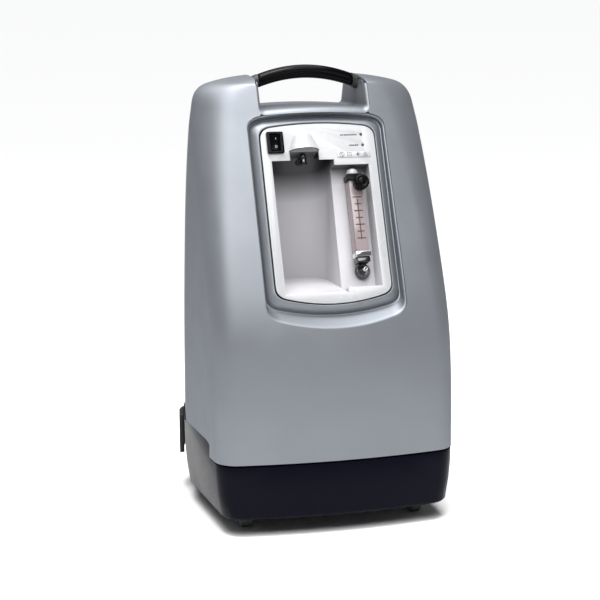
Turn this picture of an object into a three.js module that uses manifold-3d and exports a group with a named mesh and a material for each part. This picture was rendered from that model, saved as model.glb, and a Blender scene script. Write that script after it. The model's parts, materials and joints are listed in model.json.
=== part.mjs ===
// A floor-standing oxygen concentrator: a two-shell cabinet with a carrying handle on a castered base
// tray, a recessed control panel with a humidifier bay and a flowmeter, and the gas separation plant
// inside. Millimetres, +Z up, the front faces -Y, the origin is on the floor below the box's centre.
import * as THREE from "three";
import { mergeVertices } from "three/addons/utils/BufferGeometryUtils.js";
import { ParametricGeometry } from "three/addons/geometries/ParametricGeometry.js";
import Module from "manifold-3d";

const wasm = await Module();
wasm.setup();

// ---------- driving dimensions ----------

const GAP = 0.3; // between pieces that touch
const SLIVER = 0.02; // detail smaller than this is dropped from a cut solid
const WALL = 3.5; // cabinet moulding
const FRONT_Y = -184; // middle of the front at the foot of the shell
const REAR_Y = 176; // back of the rear shell
const SEAM_Y = 28; // plane where the two shells meet, at the cabinet's widest
const SEAM_HALF_WIDTH = 196;
const SHELL_FOOT_Z = 114; // front shell's lower edge
const SHELL_STEP_Z = 137; // lower edge of both shells behind the step
const STEP_Y = -113; // where the lower edge steps up
const HORN_TOP_Z = 681.5; // shell beside the handle

const BASE_BOTTOM_Z = 28;
const BASE_LEDGE = 2; // base tray stands out from the shell by this much
const BASE_WALL = 4;
const BASE_FLOOR_TOP_Z = 40;

const OPENING_HALF_WIDTH = 86; // hand opening below the grip
const OPENING_FLOOR_Z = 632;
const OPENING_ARCH = 4; // floor is higher by this much at its middle
const OPENING_LIP_RADIUS = 7;

const GRIP_TOP_Z = 700;
const GRIP_Y = 27;
const GRIP_HEIGHT = 21;
const GRIP_DEPTH = 25;

const PANEL_LEAN = THREE.MathUtils.degToRad(22.4); // control panel leans back
const PANEL_FOOT_Y = -142.4; // point on the panel's face, s = 0 of its own frame
const PANEL_FOOT_Z = 365.3;
const PANEL_HALF_WIDTH = 91;
const PANEL_PLATE = 3;
const SURROUND_WIDTH = 16; // raised ring of the shell round the panel
const POCKET_DEPTH = 11; // pocket floor behind the panel's face

const CASTER_X = 138;
const CASTER_Y = 128;
const WHEEL_RADIUS = 19;
const WHEEL_WIDTH = 17;

// ---------- materials ----------

function material(color, roughness, metalness, extra = {}) {
  return new THREE.MeshStandardMaterial({ color, roughness, metalness, ...extra });
}

const silverPaint = material(0x9aa0aa, 0.42, 0.55);
const navyPlastic = material(0x171923, 0.4, 0);
const blackRubber = material(0x0d0d0f, 0.75, 0);
const blackGloss = material(0x08080a, 0.22, 0);
const whitePanel = material(0xe9ebf0, 0.35, 0);
const smokedChrome = material(0x55565c, 0.2, 0.9);
const brightChrome = material(0xc9cace, 0.12, 1);
const clearAcrylic = material(0xf0d8d4, 0.08, 0, { transparent: true, opacity: 0.4 });
const greyPlastic = material(0x6d7078, 0.55, 0);
const zincSteel = material(0xa9adb3, 0.4, 0.8);
const castAluminium = material(0xb4b6b8, 0.5, 0.85);
const aluminiumTube = material(0xc4c6c8, 0.3, 0.9);
const greenBoard = material(0x1f5a34, 0.5, 0);
const foamGrey = material(0x3b3d42, 0.95, 0);
const copperTube = material(0xb0714a, 0.3, 0.95);
const ledLens = material(0x101312, 0.25, 0);

// ---------- solids ----------

// A closed geometry as a manifold-3d solid, turned face out if its profile ran the other way.
function solid(geometry) {
  const loose = geometry.index ? geometry.toNonIndexed() : geometry.clone();
  loose.deleteAttribute("normal");
  loose.deleteAttribute("uv");
  const merged = mergeVertices(loose, 1e-4);
  const triangles = [];
  const index = merged.index.array;
  for (let i = 0; i < index.length; i += 3) {
    const [a, b, c] = [index[i], index[i + 1], index[i + 2]];
    if (a !== b && b !== c && c !== a) triangles.push(a, b, c);
  }
  const build = (order) =>
    new wasm.Manifold(
      new wasm.Mesh({
        numProp: 3,
        vertProperties: merged.attributes.position.array,
        triVerts: new Uint32Array(order),
      }),
    );
  const made = build(triangles);
  return made.volume() < 0 ? build(triangles.reverse()) : made;
}

// A solid's mesh, without the slivers that cuts leave behind.
function geometryOf(body) {
  const mesh = body.asOriginal().simplify(SLIVER).getMesh();
  const geometry = new THREE.BufferGeometry();
  geometry.setAttribute("position", new THREE.BufferAttribute(new Float32Array(mesh.vertProperties), 3));
  geometry.setIndex(new THREE.BufferAttribute(new Uint32Array(mesh.triVerts), 1));
  geometry.computeVertexNormals();
  return geometry;
}

function union(...bodies) {
  return bodies.reduce((whole, body) => whole.add(body));
}

function cut(body, ...tools) {
  return tools.reduce((rest, tool) => rest.subtract(tool), body);
}

// A box between two corners.
function box([x0, y0, z0], [x1, y1, z1]) {
  const geometry = new THREE.BoxGeometry(x1 - x0, y1 - y0, z1 - z0);
  return solid(geometry.translate((x0 + x1) / 2, (y0 + y1) / 2, (z0 + z1) / 2));
}

// A cylinder or cone frustum from a centre point, along one axis.
function rod(axis, [x, y, z], length, radius, { tip = radius, sides = 24 } = {}) {
  const geometry = new THREE.CylinderGeometry(tip, radius, length, sides);
  if (axis === "x") geometry.rotateZ(-Math.PI / 2);
  if (axis === "z") geometry.rotateX(Math.PI / 2);
  return solid(geometry.translate(x, y, z));
}

// A turned body: profile points are [radius, height], along +Z from its centre.
function turned(profile, [x, y, z] = [0, 0, 0], sides = 24) {
  const points = profile.map(([radius, height]) => new THREE.Vector2(radius, height));
  const geometry = new THREE.LatheGeometry(points, sides);
  return solid(geometry.rotateX(Math.PI / 2).translate(x, y, z));
}

// A flat outline drawn in XY and raised along +Z.
function raised(shape, low, high, curveSegments = 8) {
  const options = { depth: high - low, bevelEnabled: false, curveSegments };
  return solid(new THREE.ExtrudeGeometry(shape, options).translate(0, 0, low));
}

// A flat outline drawn in YZ and drawn out along +X.
function drawnAlongX(points, low, high) {
  const shape = new THREE.Shape(points.map(([y, z]) => new THREE.Vector2(y, z)));
  const geometry = new THREE.ExtrudeGeometry(shape, { depth: high - low, bevelEnabled: false });
  const turn = new THREE.Matrix4().makeBasis(
    new THREE.Vector3(0, 1, 0),
    new THREE.Vector3(0, 0, 1),
    new THREE.Vector3(1, 0, 0),
  );
  return solid(geometry.applyMatrix4(turn).translate(low, 0, 0));
}

// A skin through rings of equally many points, closed at both ends.
function loft(rings) {
  const centres = rings.map((ring) => {
    const sum = ring.reduce((total, point) => total.add(point), new THREE.Vector3());
    return sum.divideScalar(ring.length);
  });
  const count = rings[0].length;
  const stacks = rings.length + 1;
  const surface = (u, v, target) => {
    const row = Math.round(v * stacks);
    if (row === 0) return target.copy(centres[0]);
    if (row === stacks) return target.copy(centres[rings.length - 1]);
    return target.copy(rings[row - 1][Math.round(u * count) % count]);
  };
  return solid(new ParametricGeometry(surface, count, stacks));
}

// A round tube along a curve.
function tube(points, radius, steps, sides = 8) {
  const shape = new THREE.Shape().absarc(0, 0, radius, 0, 2 * Math.PI);
  const path = new THREE.CatmullRomCurve3(points.map((point) => new THREE.Vector3(...point)));
  const options = { steps, curveSegments: sides, extrudePath: path };
  return solid(new THREE.ExtrudeGeometry(shape, options));
}

// A rectangle with round corners, centred in XY.
function roundedRectangle(width, height, radius, [x, y] = [0, 0]) {
  const [w, h] = [width / 2, height / 2];
  const shape = new THREE.Shape();
  shape.absarc(x + w - radius, y - h + radius, radius, -Math.PI / 2, 0);
  shape.absarc(x + w - radius, y + h - radius, radius, 0, Math.PI / 2);
  shape.absarc(x - w + radius, y + h - radius, radius, Math.PI / 2, Math.PI);
  shape.absarc(x - w + radius, y - h + radius, radius, Math.PI, 1.5 * Math.PI);
  return shape;
}

// A smooth value through [position, value] pairs.
function profile(pairs) {
  const positions = pairs.map(([position]) => position);
  const values = pairs.map(([, value]) => value);
  const curve = new THREE.CubicInterpolant(positions, values, 1);
  return (position) => curve.evaluate(position)[0];
}

// ---------- the scene ----------

const concentrator = new THREE.Group();
concentrator.name = "oxygen_concentrator";

function piece(name, body, look, group = concentrator) {
  const mesh = new THREE.Mesh(geometryOf(body), look);
  mesh.name = name;
  group.add(mesh);
  return mesh;
}

// ---------- cabinet outline ----------

const frontCurve = profile([
  [BASE_BOTTOM_Z - 40, FRONT_Y],
  [SHELL_FOOT_Z, FRONT_Y],
  [200, -183],
  [260, -179],
  [308, -171],
  [365, -152],
  [490, -98],
  [614, -44],
  [650, -29],
  [720, 1],
]);
const rearCurve = profile([
  [BASE_BOTTOM_Z - 40, REAR_Y],
  [300, REAR_Y],
  [420, 171],
  [520, 148],
  [640, 108],
  [720, 80],
]);
const frontAt = (z) => Math.max(FRONT_Y, frontCurve(z));
const rearAt = (z) => Math.min(REAR_Y, rearCurve(z));
const frontRadiusAt = profile([
  [BASE_BOTTOM_Z - 40, 26],
  [300, 30],
  [480, 40],
  [640, 54],
  [720, 54],
]);

const WIDEST_Y = 40; // where the sides start to close in again
const FRONT_SLOPE = 0.16; // front's plan slope where it meets the corner
const SIDE_TAPER = 0.05; // sides close in by this much towards the front
const REAR_TAPER = 0.19; // and by this much towards the back
const REAR_RADIUS = 34;

// Points of a round corner that starts on the way in, ends on the way out.
function corner(point, towards, away, radius, steps) {
  const start = point.clone().addScaledVector(towards, -radius);
  const end = point.clone().addScaledVector(away, radius);
  const pull = 0.55 * radius;
  const curve = new THREE.CubicBezierCurve(
    start,
    start.clone().addScaledVector(towards, pull),
    end.clone().addScaledVector(away, -pull),
    end,
  );
  return curve.getPoints(steps);
}

// The cabinet's plan outline at one height, drawn inwards by inset, as points that go right from the
// middle of the front, round the back and home along the left side.
function planOutline(z, halfWidth, inset = 0, roll = 0) {
  const width = halfWidth - inset;
  const front = frontAt(z) + inset + roll;
  const rear = rearAt(z) - inset - roll;
  const frontRadius = Math.max(frontRadiusAt(z) - inset, 6);
  const rearRadius = Math.max(Math.min(REAR_RADIUS, (rear - WIDEST_Y) * 0.6) - inset, 6);
  const frontCornerY = front + FRONT_SLOPE * (width / 2 + frontRadius / 2);
  const frontCorner = new THREE.Vector2(width - SIDE_TAPER * (WIDEST_Y - frontCornerY), frontCornerY);
  const acrossFront = new THREE.Vector2(1, FRONT_SLOPE).normalize();
  const alongSide = new THREE.Vector2(SIDE_TAPER, 1).normalize();
  const rearCorner = new THREE.Vector2(width - REAR_TAPER * (rear - WIDEST_Y), rear);
  const alongRearSide = new THREE.Vector2(-REAR_TAPER, 1).normalize();
  const acrossRear = new THREE.Vector2(-1, 0);

  const frontTurn = corner(frontCorner, acrossFront, alongSide, frontRadius, 5);
  const rearTurn = corner(rearCorner, alongRearSide, acrossRear, rearRadius, 4);
  const start = frontTurn[0];
  const frontBow = new THREE.QuadraticBezierCurve(
    new THREE.Vector2(-start.x, start.y),
    new THREE.Vector2(0, start.y - FRONT_SLOPE * start.x),
    start,
  );
  const frontHalf = frontBow.getPoints(6).slice(3, 6);
  const right = [...frontHalf, ...frontTurn, new THREE.Vector2(width, WIDEST_Y), ...rearTurn];
  const middle = [new THREE.Vector2(0, rear)];
  const left = right.slice(1).reverse().map((point) => new THREE.Vector2(-point.x, point.y));
  return [...right, ...middle, ...left].map((point) => new THREE.Vector3(point.x, point.y, z));
}

// The cabinet seen from the front: the right side as [half width, height], from the floor to the top.
function silhouette(inset) {
  const side = new THREE.Path();
  side.moveTo(SEAM_HALF_WIDTH, SHELL_FOOT_Z - 10);
  side.splineThru([
    new THREE.Vector2(195.5, 240),
    new THREE.Vector2(194, 340),
    new THREE.Vector2(189.5, 494),
    new THREE.Vector2(183.5, 600),
    new THREE.Vector2(178.5, 640),
  ]);
  const shoulder = new THREE.Path();
  shoulder.moveTo(178.5, 640);
  shoulder.quadraticCurveTo(174.5, 664.5, 152, 670.5);
  shoulder.quadraticCurveTo(122, 678.5, OPENING_HALF_WIDTH - 6, HORN_TOP_Z);
  const flank = side.getPoints(2).map((point) => ({ width: point.x, z: point.y, roll: 0 }));
  const crest = shoulder.getPoints(4).slice(1).map((point, i) => ({
    width: point.x,
    z: point.y,
    roll: 2.2 * (i + 1),
  }));
  return [...flank, ...crest].map(({ width, z, roll }) => ({
    width,
    z: z > HORN_TOP_Z - 40 ? z - (inset * (z - HORN_TOP_Z + 40)) / 40 : z,
    roll,
  }));
}

function cabinetBody(inset) {
  return loft(silhouette(inset).map(({ width, z, roll }) => planOutline(z, width, inset, roll)));
}

// The hand opening: a U-shaped tunnel whose mouths flare with a round lip. grow makes it larger all
// round, for the wall behind it.
function openingTunnel(grow) {
  const mouth = (face, direction, turn) => ({
    face,
    depth: direction * (OPENING_LIP_RADIUS * (1 - Math.cos(turn)) - 1.5),
    flare: OPENING_LIP_RADIUS * (1 - Math.sin(turn)),
  });
  const turns = [0, Math.PI / 8, Math.PI / 4, Math.PI / 2];
  const stations = [
    { face: frontAt, depth: -30, flare: OPENING_LIP_RADIUS },
    ...turns.map((turn) => mouth(frontAt, 1, turn)),
    ...turns.map((turn) => mouth(rearAt, -1, turn)).reverse(),
    { face: rearAt, depth: 30, flare: OPENING_LIP_RADIUS },
  ];
  const rings = stations.map(({ face, depth, flare }) => {
    const half = OPENING_HALF_WIDTH + flare * 0.5 + grow;
    const floor = OPENING_FLOOR_Z - flare - grow;
    const radius = 8 + flare * 0.5 + grow;
    const bend = new THREE.Path();
    bend.moveTo(half, 730);
    bend.lineTo(half, floor + radius);
    bend.absarc(half - radius, floor + radius, radius, 0, -Math.PI / 2, true);
    bend.lineTo(0, floor + OPENING_ARCH);
    const right = bend.getPoints(4);
    const left = right.slice(0, -1).reverse().map((point) => new THREE.Vector2(-point.x, point.y));
    return [...right, ...left].map(
      (point) => new THREE.Vector3(point.x, face(point.y) + depth, point.y),
    );
  });
  return loft(rings);
}

// ---------- control panel frame ----------

// Control panel frame: x across, y up the slope (s), z out of the panel's face.
const panel = new THREE.Group();
panel.position.set(0, PANEL_FOOT_Y, PANEL_FOOT_Z);
panel.rotation.x = Math.PI / 2 - PANEL_LEAN;
panel.updateMatrixWorld(true);
concentrator.add(panel);

function inPanelFrame(geometryOrBody) {
  const geometry = geometryOf(geometryOrBody);
  return solid(geometry.applyMatrix4(panel.matrixWorld.clone().invert()));
}

function inCabinetFrame(body) {
  return solid(geometryOf(body).applyMatrix4(panel.matrixWorld));
}

// The panel's outline: bowed top and bottom edges, round corners. grow offsets it, and sink moves its
// lower edge further down the slope.
function panelOutline(grow = 0, sink = 0) {
  const half = PANEL_HALF_WIDTH + grow;
  const inner = 74 + grow * 0.6;
  const top = 262 + grow;
  const bottom = -7 - grow - sink;
  const shape = new THREE.Shape();
  shape.moveTo(-half, bottom + 19 + sink * 0.45);
  shape.quadraticCurveTo(-half, bottom + 4, -inner, bottom);
  shape.quadraticCurveTo(0, bottom - 20, inner, bottom);
  shape.quadraticCurveTo(half, bottom + 4, half, bottom + 19 + sink * 0.45);
  shape.lineTo(half, top - 19);
  shape.quadraticCurveTo(half, top - 3, inner, top);
  shape.quadraticCurveTo(0, top + 10, -inner, top);
  shape.quadraticCurveTo(-half, top - 3, -half, top - 19);
  shape.closePath();
  return shape;
}

function outlineRing(shape, height) {
  return shape
    .getPoints(8)
    .slice(0, -1)
    .map((point) => new THREE.Vector3(point.x, point.y, height));
}

// The pocket round the panel, in the panel's frame: the walls open outwards, the lower one most.
const POCKET_TOP = 30;
const LOWER_WALL_RUN = 1.35;
function pocketBody(grow) {
  const rise = POCKET_TOP + POCKET_DEPTH;
  const foot = outlineRing(panelOutline(SURROUND_WIDTH + grow, 1), -POCKET_DEPTH - grow);
  const mouth = outlineRing(
    panelOutline(SURROUND_WIDTH + 0.14 * rise + grow, 1 + (LOWER_WALL_RUN - 0.14) * rise),
    POCKET_TOP,
  );
  return loft([foot, mouth]);
}

// The raised ring of the shell that frames the panel, in the panel's frame.
function surroundRing() {
  return loft([
    outlineRing(panelOutline(SURROUND_WIDTH - 1.5), -POCKET_DEPTH - 1),
    outlineRing(panelOutline(SURROUND_WIDTH * 0.72), -POCKET_DEPTH * 0.62),
    outlineRing(panelOutline(SURROUND_WIDTH * 0.42), -POCKET_DEPTH * 0.2),
    outlineRing(panelOutline(SURROUND_WIDTH * 0.2), 0),
  ]);
}

// ---------- shells ----------

// Fittings on the flat of the rear shell, as [left, low, right, high] of each window.
const REAR_WINDOW = {
  filter: [-60, 200, 60, 300],
  meter: [-96, 152, -58, 174],
  breaker: [-28, 155, -10, 173],
  inlet: [48, 148, 84, 178],
};
function rearWindow([left, low, right, high], grow = 0) {
  return box([left - grow, REAR_Y - 20, low - grow], [right + grow, REAR_Y + 20, high + grow]);
}
function rearWindows() {
  return Object.values(REAR_WINDOW).map((window) => rearWindow(window, GAP));
}

function wholeShell() {
  const outside = cut(cabinetBody(0), openingTunnel(0), inCabinetFrame(pocketBody(0)));
  const room = cut(cabinetBody(WALL), openingTunnel(WALL), inCabinetFrame(pocketBody(WALL)));
  const ring = inCabinetFrame(surroundRing());
  const window = inCabinetFrame(raised(panelOutline(GAP), -60, 20, 6));
  const belowStep = box([-250, STEP_Y, 0], [250, 250, SHELL_STEP_Z]);
  const belowFoot = box([-250, -250, 0], [250, 250, SHELL_FOOT_Z]);
  return cut(union(cut(outside, room), ring), window, belowStep, belowFoot);
}

const shell = wholeShell();
const frontSide = box([-250, -260, 0], [250, SEAM_Y - GAP / 2, 760]);
const rearSide = box([-250, SEAM_Y + GAP / 2, 0], [250, 260, 760]);

piece("front_shell", shell.intersect(frontSide), silverPaint);
piece("rear_shell", cut(shell.intersect(rearSide), ...rearWindows()), silverPaint);

// ---------- base tray ----------

// The tray's outline at one height: the shell's outline, let out by the ledge at the top and drawn in
// towards the floor.
const BASE_TOP_Z = SHELL_FOOT_Z - 3;
const BASE_STEP_TOP_Z = SHELL_STEP_Z - 1.5;
const BASE_DRAFT = 9;
function baseOutline(z, inset) {
  const drop = Math.max(0, (BASE_TOP_Z - z) / (BASE_TOP_Z - BASE_BOTTOM_Z));
  return planOutline(z, SEAM_HALF_WIDTH + BASE_LEDGE - BASE_DRAFT * drop * drop, inset, -BASE_LEDGE);
}

function casterSpots() {
  return [-1, 1].flatMap((side) =>
    [-1, 1].map((end) => ({
      name: (end < 0 ? "front" : "rear") + (side < 0 ? "_left" : "_right"),
      x: side * CASTER_X,
      y: end * CASTER_Y,
    })),
  );
}

// A ledge on the tray's wall with a tongue that stands up behind the foot of the shell.
function baseTongue(z, low, high) {
  const behind = (inset, bottom, top) =>
    loft([bottom, top].map((height) => planOutline(height, SEAM_HALF_WIDTH, inset)));
  const room = behind(WALL + 2.8, z - 12, z + 12);
  const tongue = cut(behind(WALL + GAP, z - 8, z + 8), room);
  const ledge = cut(loft([z - 5, z].map((height) => baseOutline(height, 1))), room);
  return union(tongue, ledge).intersect(box(low, high));
}

const WELL_RADIUS = 35;
const WELL_TOP_Z = 45;
const STEM_RADIUS = 5;
function baseTray() {
  const heights = [BASE_BOTTOM_Z, BASE_BOTTOM_Z + 3, 62, 90, BASE_STEP_TOP_Z];
  const insets = [3, 0, 0, 0, 0];
  const outer = loft(heights.map((z, i) => baseOutline(z, insets[i])));
  const inner = loft(
    [BASE_FLOOR_TOP_Z, 76, BASE_STEP_TOP_Z + 2].map((z) => baseOutline(z, BASE_WALL)),
  );
  const frontNotch = box([-250, -260, BASE_TOP_Z], [250, STEP_Y + 0.5, 200]);
  const tongues = [
    baseTongue(BASE_TOP_Z, [-250, -260, 0], [250, STEP_Y - 2, 200]),
    baseTongue(BASE_STEP_TOP_Z, [-250, STEP_Y + 4, 0], [250, 250, 200]),
  ];
  const roofLow = BASE_FLOOR_TOP_Z - 2;
  const roofHigh = WELL_TOP_Z + 3;
  const roofs = casterSpots().map(({ x, y }) =>
    rod("z", [x, y, (roofLow + roofHigh) / 2], roofHigh - roofLow, WELL_RADIUS + WALL),
  );
  const wells = casterSpots().map(({ x, y }) => rod("z", [x, y, WELL_TOP_Z / 2], WELL_TOP_Z, WELL_RADIUS));
  const stems = casterSpots().map(({ x, y }) => rod("z", [x, y, 45], 30, STEM_RADIUS + GAP, { sides: 16 }));
  const vents = [-2, -1, 0, 1, 2].map((i) => box([i * 16 - 4, 90, 0], [i * 16 + 4, 150, 60]));
  return cut(union(cut(outer, inner, frontNotch), ...tongues, ...roofs), ...wells, ...stems, ...vents);
}

piece("base_tray", baseTray(), navyPlastic);

// Rubber bumpers on the rear corners of the tray.
const BUMPER = { low: 62, high: 126, reach: 8 };
function rearBumper(side) {
  const slab = (low, high, inset) =>
    loft([low, high].map((z) => planOutline(z, SEAM_HALF_WIDTH + BASE_LEDGE, inset, -BASE_LEDGE)));
  const outer = slab(BUMPER.low, BUMPER.high, -BUMPER.reach);
  const band = cut(outer, slab(BUMPER.low - 2, BUMPER.high + 2, -GAP));
  const keep = side < 0 ? box([-260, 105, 0], [-120, 260, 200]) : box([120, 105, 0], [260, 260, 200]);
  return band.intersect(keep);
}
piece("rear_bumper_left", rearBumper(-1), blackRubber);
piece("rear_bumper_right", rearBumper(1), blackRubber);

// ---------- casters ----------

const CASTER_TRAIL = 12;
const AXLE_RADIUS = 3;
const FORK_GAP = WHEEL_WIDTH / 2 + 1;
const FORK_THICKNESS = 3;
function casterFork({ x, y }) {
  const top = WELL_TOP_Z - 0.5;
  const crown = rod("z", [x, y, top - 1.5], 3, 15, { sides: 20 });
  const stem = rod("z", [x, y, top + 2.5], 9, STEM_RADIUS, { sides: 16 });
  const outer = FORK_GAP + FORK_THICKNESS;
  const bridge = box([x - outer, y - 8, top - 3], [x + outer, y + 20, top]);
  const legs = [-1, 1].map((side) => {
    const innerX = x + side * FORK_GAP;
    const outerX = x + side * outer;
    const outline = [
      [y - 8, top - 1],
      [y + CASTER_TRAIL - 7, WHEEL_RADIUS - 5],
      [y + CASTER_TRAIL - 4, WHEEL_RADIUS - 8],
      [y + CASTER_TRAIL + 4, WHEEL_RADIUS - 8],
      [y + CASTER_TRAIL + 7, WHEEL_RADIUS - 5],
      [y + 20, top - 1],
    ];
    return drawnAlongX(outline, Math.min(innerX, outerX), Math.max(innerX, outerX));
  });
  const axle = rod("x", [x, y + CASTER_TRAIL, WHEEL_RADIUS], 2 * outer + 2, AXLE_RADIUS, { sides: 16 });
  return union(crown, stem, bridge, ...legs, axle);
}

function casterWheel({ x, y }) {
  const half = WHEEL_WIDTH / 2;
  const bore = AXLE_RADIUS + GAP;
  const section = [
    [bore, -half],
    [WHEEL_RADIUS - 2, -half],
    [WHEEL_RADIUS, -half + 2.5],
    [WHEEL_RADIUS, half - 2.5],
    [WHEEL_RADIUS - 2, half],
    [bore, half],
    [bore, -half],
  ].map(([radius, height]) => new THREE.Vector2(radius, height));
  const geometry = new THREE.LatheGeometry(section, 20).rotateZ(-Math.PI / 2);
  return solid(geometry.translate(x, y + CASTER_TRAIL, WHEEL_RADIUS));
}

for (const spot of casterSpots()) {
  piece("caster_fork_" + spot.name, casterFork(spot), zincSteel);
  piece("caster_wheel_" + spot.name, casterWheel(spot), blackRubber);
}

// ---------- carrying handle ----------

const FERRULE_LENGTH = 9;
const GRIP_END_Z = 671.5;
function gripCentre(across) {
  const crown = GRIP_TOP_Z - GRIP_HEIGHT / 2 - GRIP_END_Z;
  return GRIP_END_Z + crown * (1 - across * across);
}

// An arched bar along X, its section a round-cornered box with a shallow groove along front and back.
function gripBar(from, to, swell, steps) {
  const rings = [];
  for (let i = 0; i <= steps; i += 1) {
    const x = from + ((to - from) * i) / steps;
    const z = gripCentre(x / OPENING_HALF_WIDTH);
    const ring = [];
    const sides = 16;
    for (let k = 0; k < sides; k += 1) {
      const turn = (2 * Math.PI * k) / sides;
      const groove = 1 - 0.07 * Math.max(0, Math.cos(2 * turn) - 0.6) * 2.5;
      const y = GRIP_Y + (GRIP_DEPTH / 2 + swell) * Math.cos(turn) * groove;
      ring.push(new THREE.Vector3(x, y, z + (GRIP_HEIGHT / 2 + swell) * Math.sin(turn)));
    }
    rings.push(ring);
  }
  return loft(rings);
}

const gripEnd = OPENING_HALF_WIDTH - GAP;
const gripBody = gripEnd - FERRULE_LENGTH - GAP;
piece("handle_grip", gripBar(-gripBody, gripBody, 0, 14), blackGloss);
piece("handle_ferrule_left", gripBar(-gripEnd, -gripEnd + FERRULE_LENGTH, 0.8, 2), blackRubber);
piece("handle_ferrule_right", gripBar(gripEnd - FERRULE_LENGTH, gripEnd, 0.8, 2), blackRubber);

// ---------- control panel ----------

const BAY = { left: -77, right: 22, backY: 2, floorZ: 364, topS: 209 }; // humidifier bay
const METER_BAY = { left: 21, right: 77, lowS: 7, highS: 200, topDepth: 26, footDepth: 36 };
const PANEL_SKIN = 2.5;

// The humidifier bay in the cabinet's frame: flat floor, upright walls and a hollow round back.
function humidifierBay(grow) {
  const radius = (BAY.right - BAY.left) / 2 + grow;
  const middle = (BAY.left + BAY.right) / 2;
  const plan = new THREE.Shape();
  plan.moveTo(middle - radius, -260);
  plan.lineTo(middle + radius, -260);
  plan.lineTo(middle + radius, BAY.backY - 34);
  const back = BAY.backY + grow;
  plan.bezierCurveTo(middle + radius, back - 8, middle + 20, back, middle, back);
  plan.bezierCurveTo(middle - 20, back, middle - radius, back - 8, middle - radius, BAY.backY - 34);
  const roof = PANEL_FOOT_Z + BAY.topS * Math.cos(PANEL_LEAN);
  return raised(plan, BAY.floorZ - grow, roof + grow, 8);
}

// The flowmeter bay in the panel's frame, deeper at its foot.
function meterBay(grow) {
  const outline = [
    [METER_BAY.lowS - grow, 20],
    [METER_BAY.lowS - grow, -METER_BAY.footDepth - grow],
    [METER_BAY.highS + grow, -METER_BAY.topDepth - grow],
    [METER_BAY.highS + grow, 20],
  ];
  return drawnAlongX(outline, METER_BAY.left - grow, METER_BAY.right + grow);
}

const SWITCH = { x: -69, s: 237.5, width: 26, height: 34 };
const HOOD = { x: -24.5, lowS: 223.5, highS: 252, footRadius: 24, topRadius: 12 };
const NOTCH = { half: 23, lowS: 205, highS: HOOD.lowS - 1, depth: 34 };
const ELBOW = { s: 216.5, n: -8, back: -40, ball: 5.4 };
const OUTLET = { x: 57, s: 37 };
const LEDS = [
  { name: "led_power", x: 70, s: 248 },
  { name: "led_alarm", x: 71, s: 231 },
];
function controlPanel() {
  const plate = raised(panelOutline(0), -PANEL_PLATE, 0, 8);
  const front = raised(panelOutline(20), -200, 0, 8);
  const bayWalls = inPanelFrame(humidifierBay(PANEL_SKIN)).intersect(front);
  const meterWalls = meterBay(PANEL_SKIN).intersect(front);
  const bay = inPanelFrame(humidifierBay(0));
  const notchBox = (grow) =>
    box(
      [HOOD.x - NOTCH.half - grow, NOTCH.lowS, -NOTCH.depth - grow],
      [HOOD.x + NOTCH.half + grow, NOTCH.highS + grow, grow ? 0 : 5],
    );
  const switchHole = box(
    [SWITCH.x - SWITCH.width / 2 + 2, SWITCH.s - SWITCH.height / 2 + 2, -10],
    [SWITCH.x + SWITCH.width / 2 - 2, SWITCH.s + SWITCH.height / 2 - 2, 5],
  );
  const elbowHole = rod("z", [HOOD.x, ELBOW.s, -35], 12, 5 + GAP, { sides: 16 });
  const outletHole = rod("z", [OUTLET.x, OUTLET.s, -METER_BAY.footDepth], 20, 5 + GAP, { sides: 16 });
  const ledHoles = LEDS.map(({ x, s }) => rod("z", [x, s, 0], 20, 2 + GAP, { sides: 12 }));
  return cut(
    union(plate, bayWalls, meterWalls, notchBox(PANEL_SKIN)),
    bay,
    meterBay(0),
    notchBox(0),
    switchHole,
    elbowHole,
    outletHole,
    ...ledHoles,
  );
}

piece("control_panel", controlPanel(), whitePanel, panel);

for (const { name, x, s } of LEDS) {
  const lens = turned([
    [0, -6],
    [2, -6],
    [2, 0.2],
    [1.4, 1.1],
    [0, 1.4],
  ], [x, s, 0], 12);
  piece(name, lens, ledLens, panel);
}

// Printed overlay for the two lamps and the four status signs.
const overlay = raised(roundedRectangle(54, 9, 2, [55, 216]), GAP, 0.9, 4);
piece("status_label", overlay, whitePanel, panel);

// Rocker switch: a frame clipped in the panel, and a rocker on a pin across it.
const ROCKER_TILT = THREE.MathUtils.degToRad(9); // lower end pressed: switched off
function switchFrame() {
  const { x, s, width, height } = SWITCH;
  const flange = raised(roundedRectangle(width, height, 2, [x, s]), GAP, 4.5, 4);
  const [halfWidth, halfHeight] = [width / 2 - 2 - GAP, height / 2 - 2 - GAP];
  const body = box([x - halfWidth, s - halfHeight, -20], [x + halfWidth, s + halfHeight, 1]);
  const room = box([x - 8, s - 13.5, -10], [x + 8, s + 13.5, 6]);
  return cut(union(flange, body), room);
}
function switchRocker() {
  const { x, s } = SWITCH;
  const outline = [
    [s - 11.5, 3.2],
    [s - 9, -4],
    [s, -7],
    [s + 9, -4],
    [s + 11.5, 3.2],
    [s + 11.5, 8.2],
    [s, 5.2],
    [s - 11.5, 8.2],
  ];
  const level = geometryOf(drawnAlongX(outline, x - 7.6, x + 7.6));
  return solid(level.translate(0, -s, 0).rotateX(ROCKER_TILT).translate(0, s, 0));
}
piece("power_switch_frame", switchFrame(), blackGloss, panel);
piece("power_switch_rocker", switchRocker(), blackGloss, panel);

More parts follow.
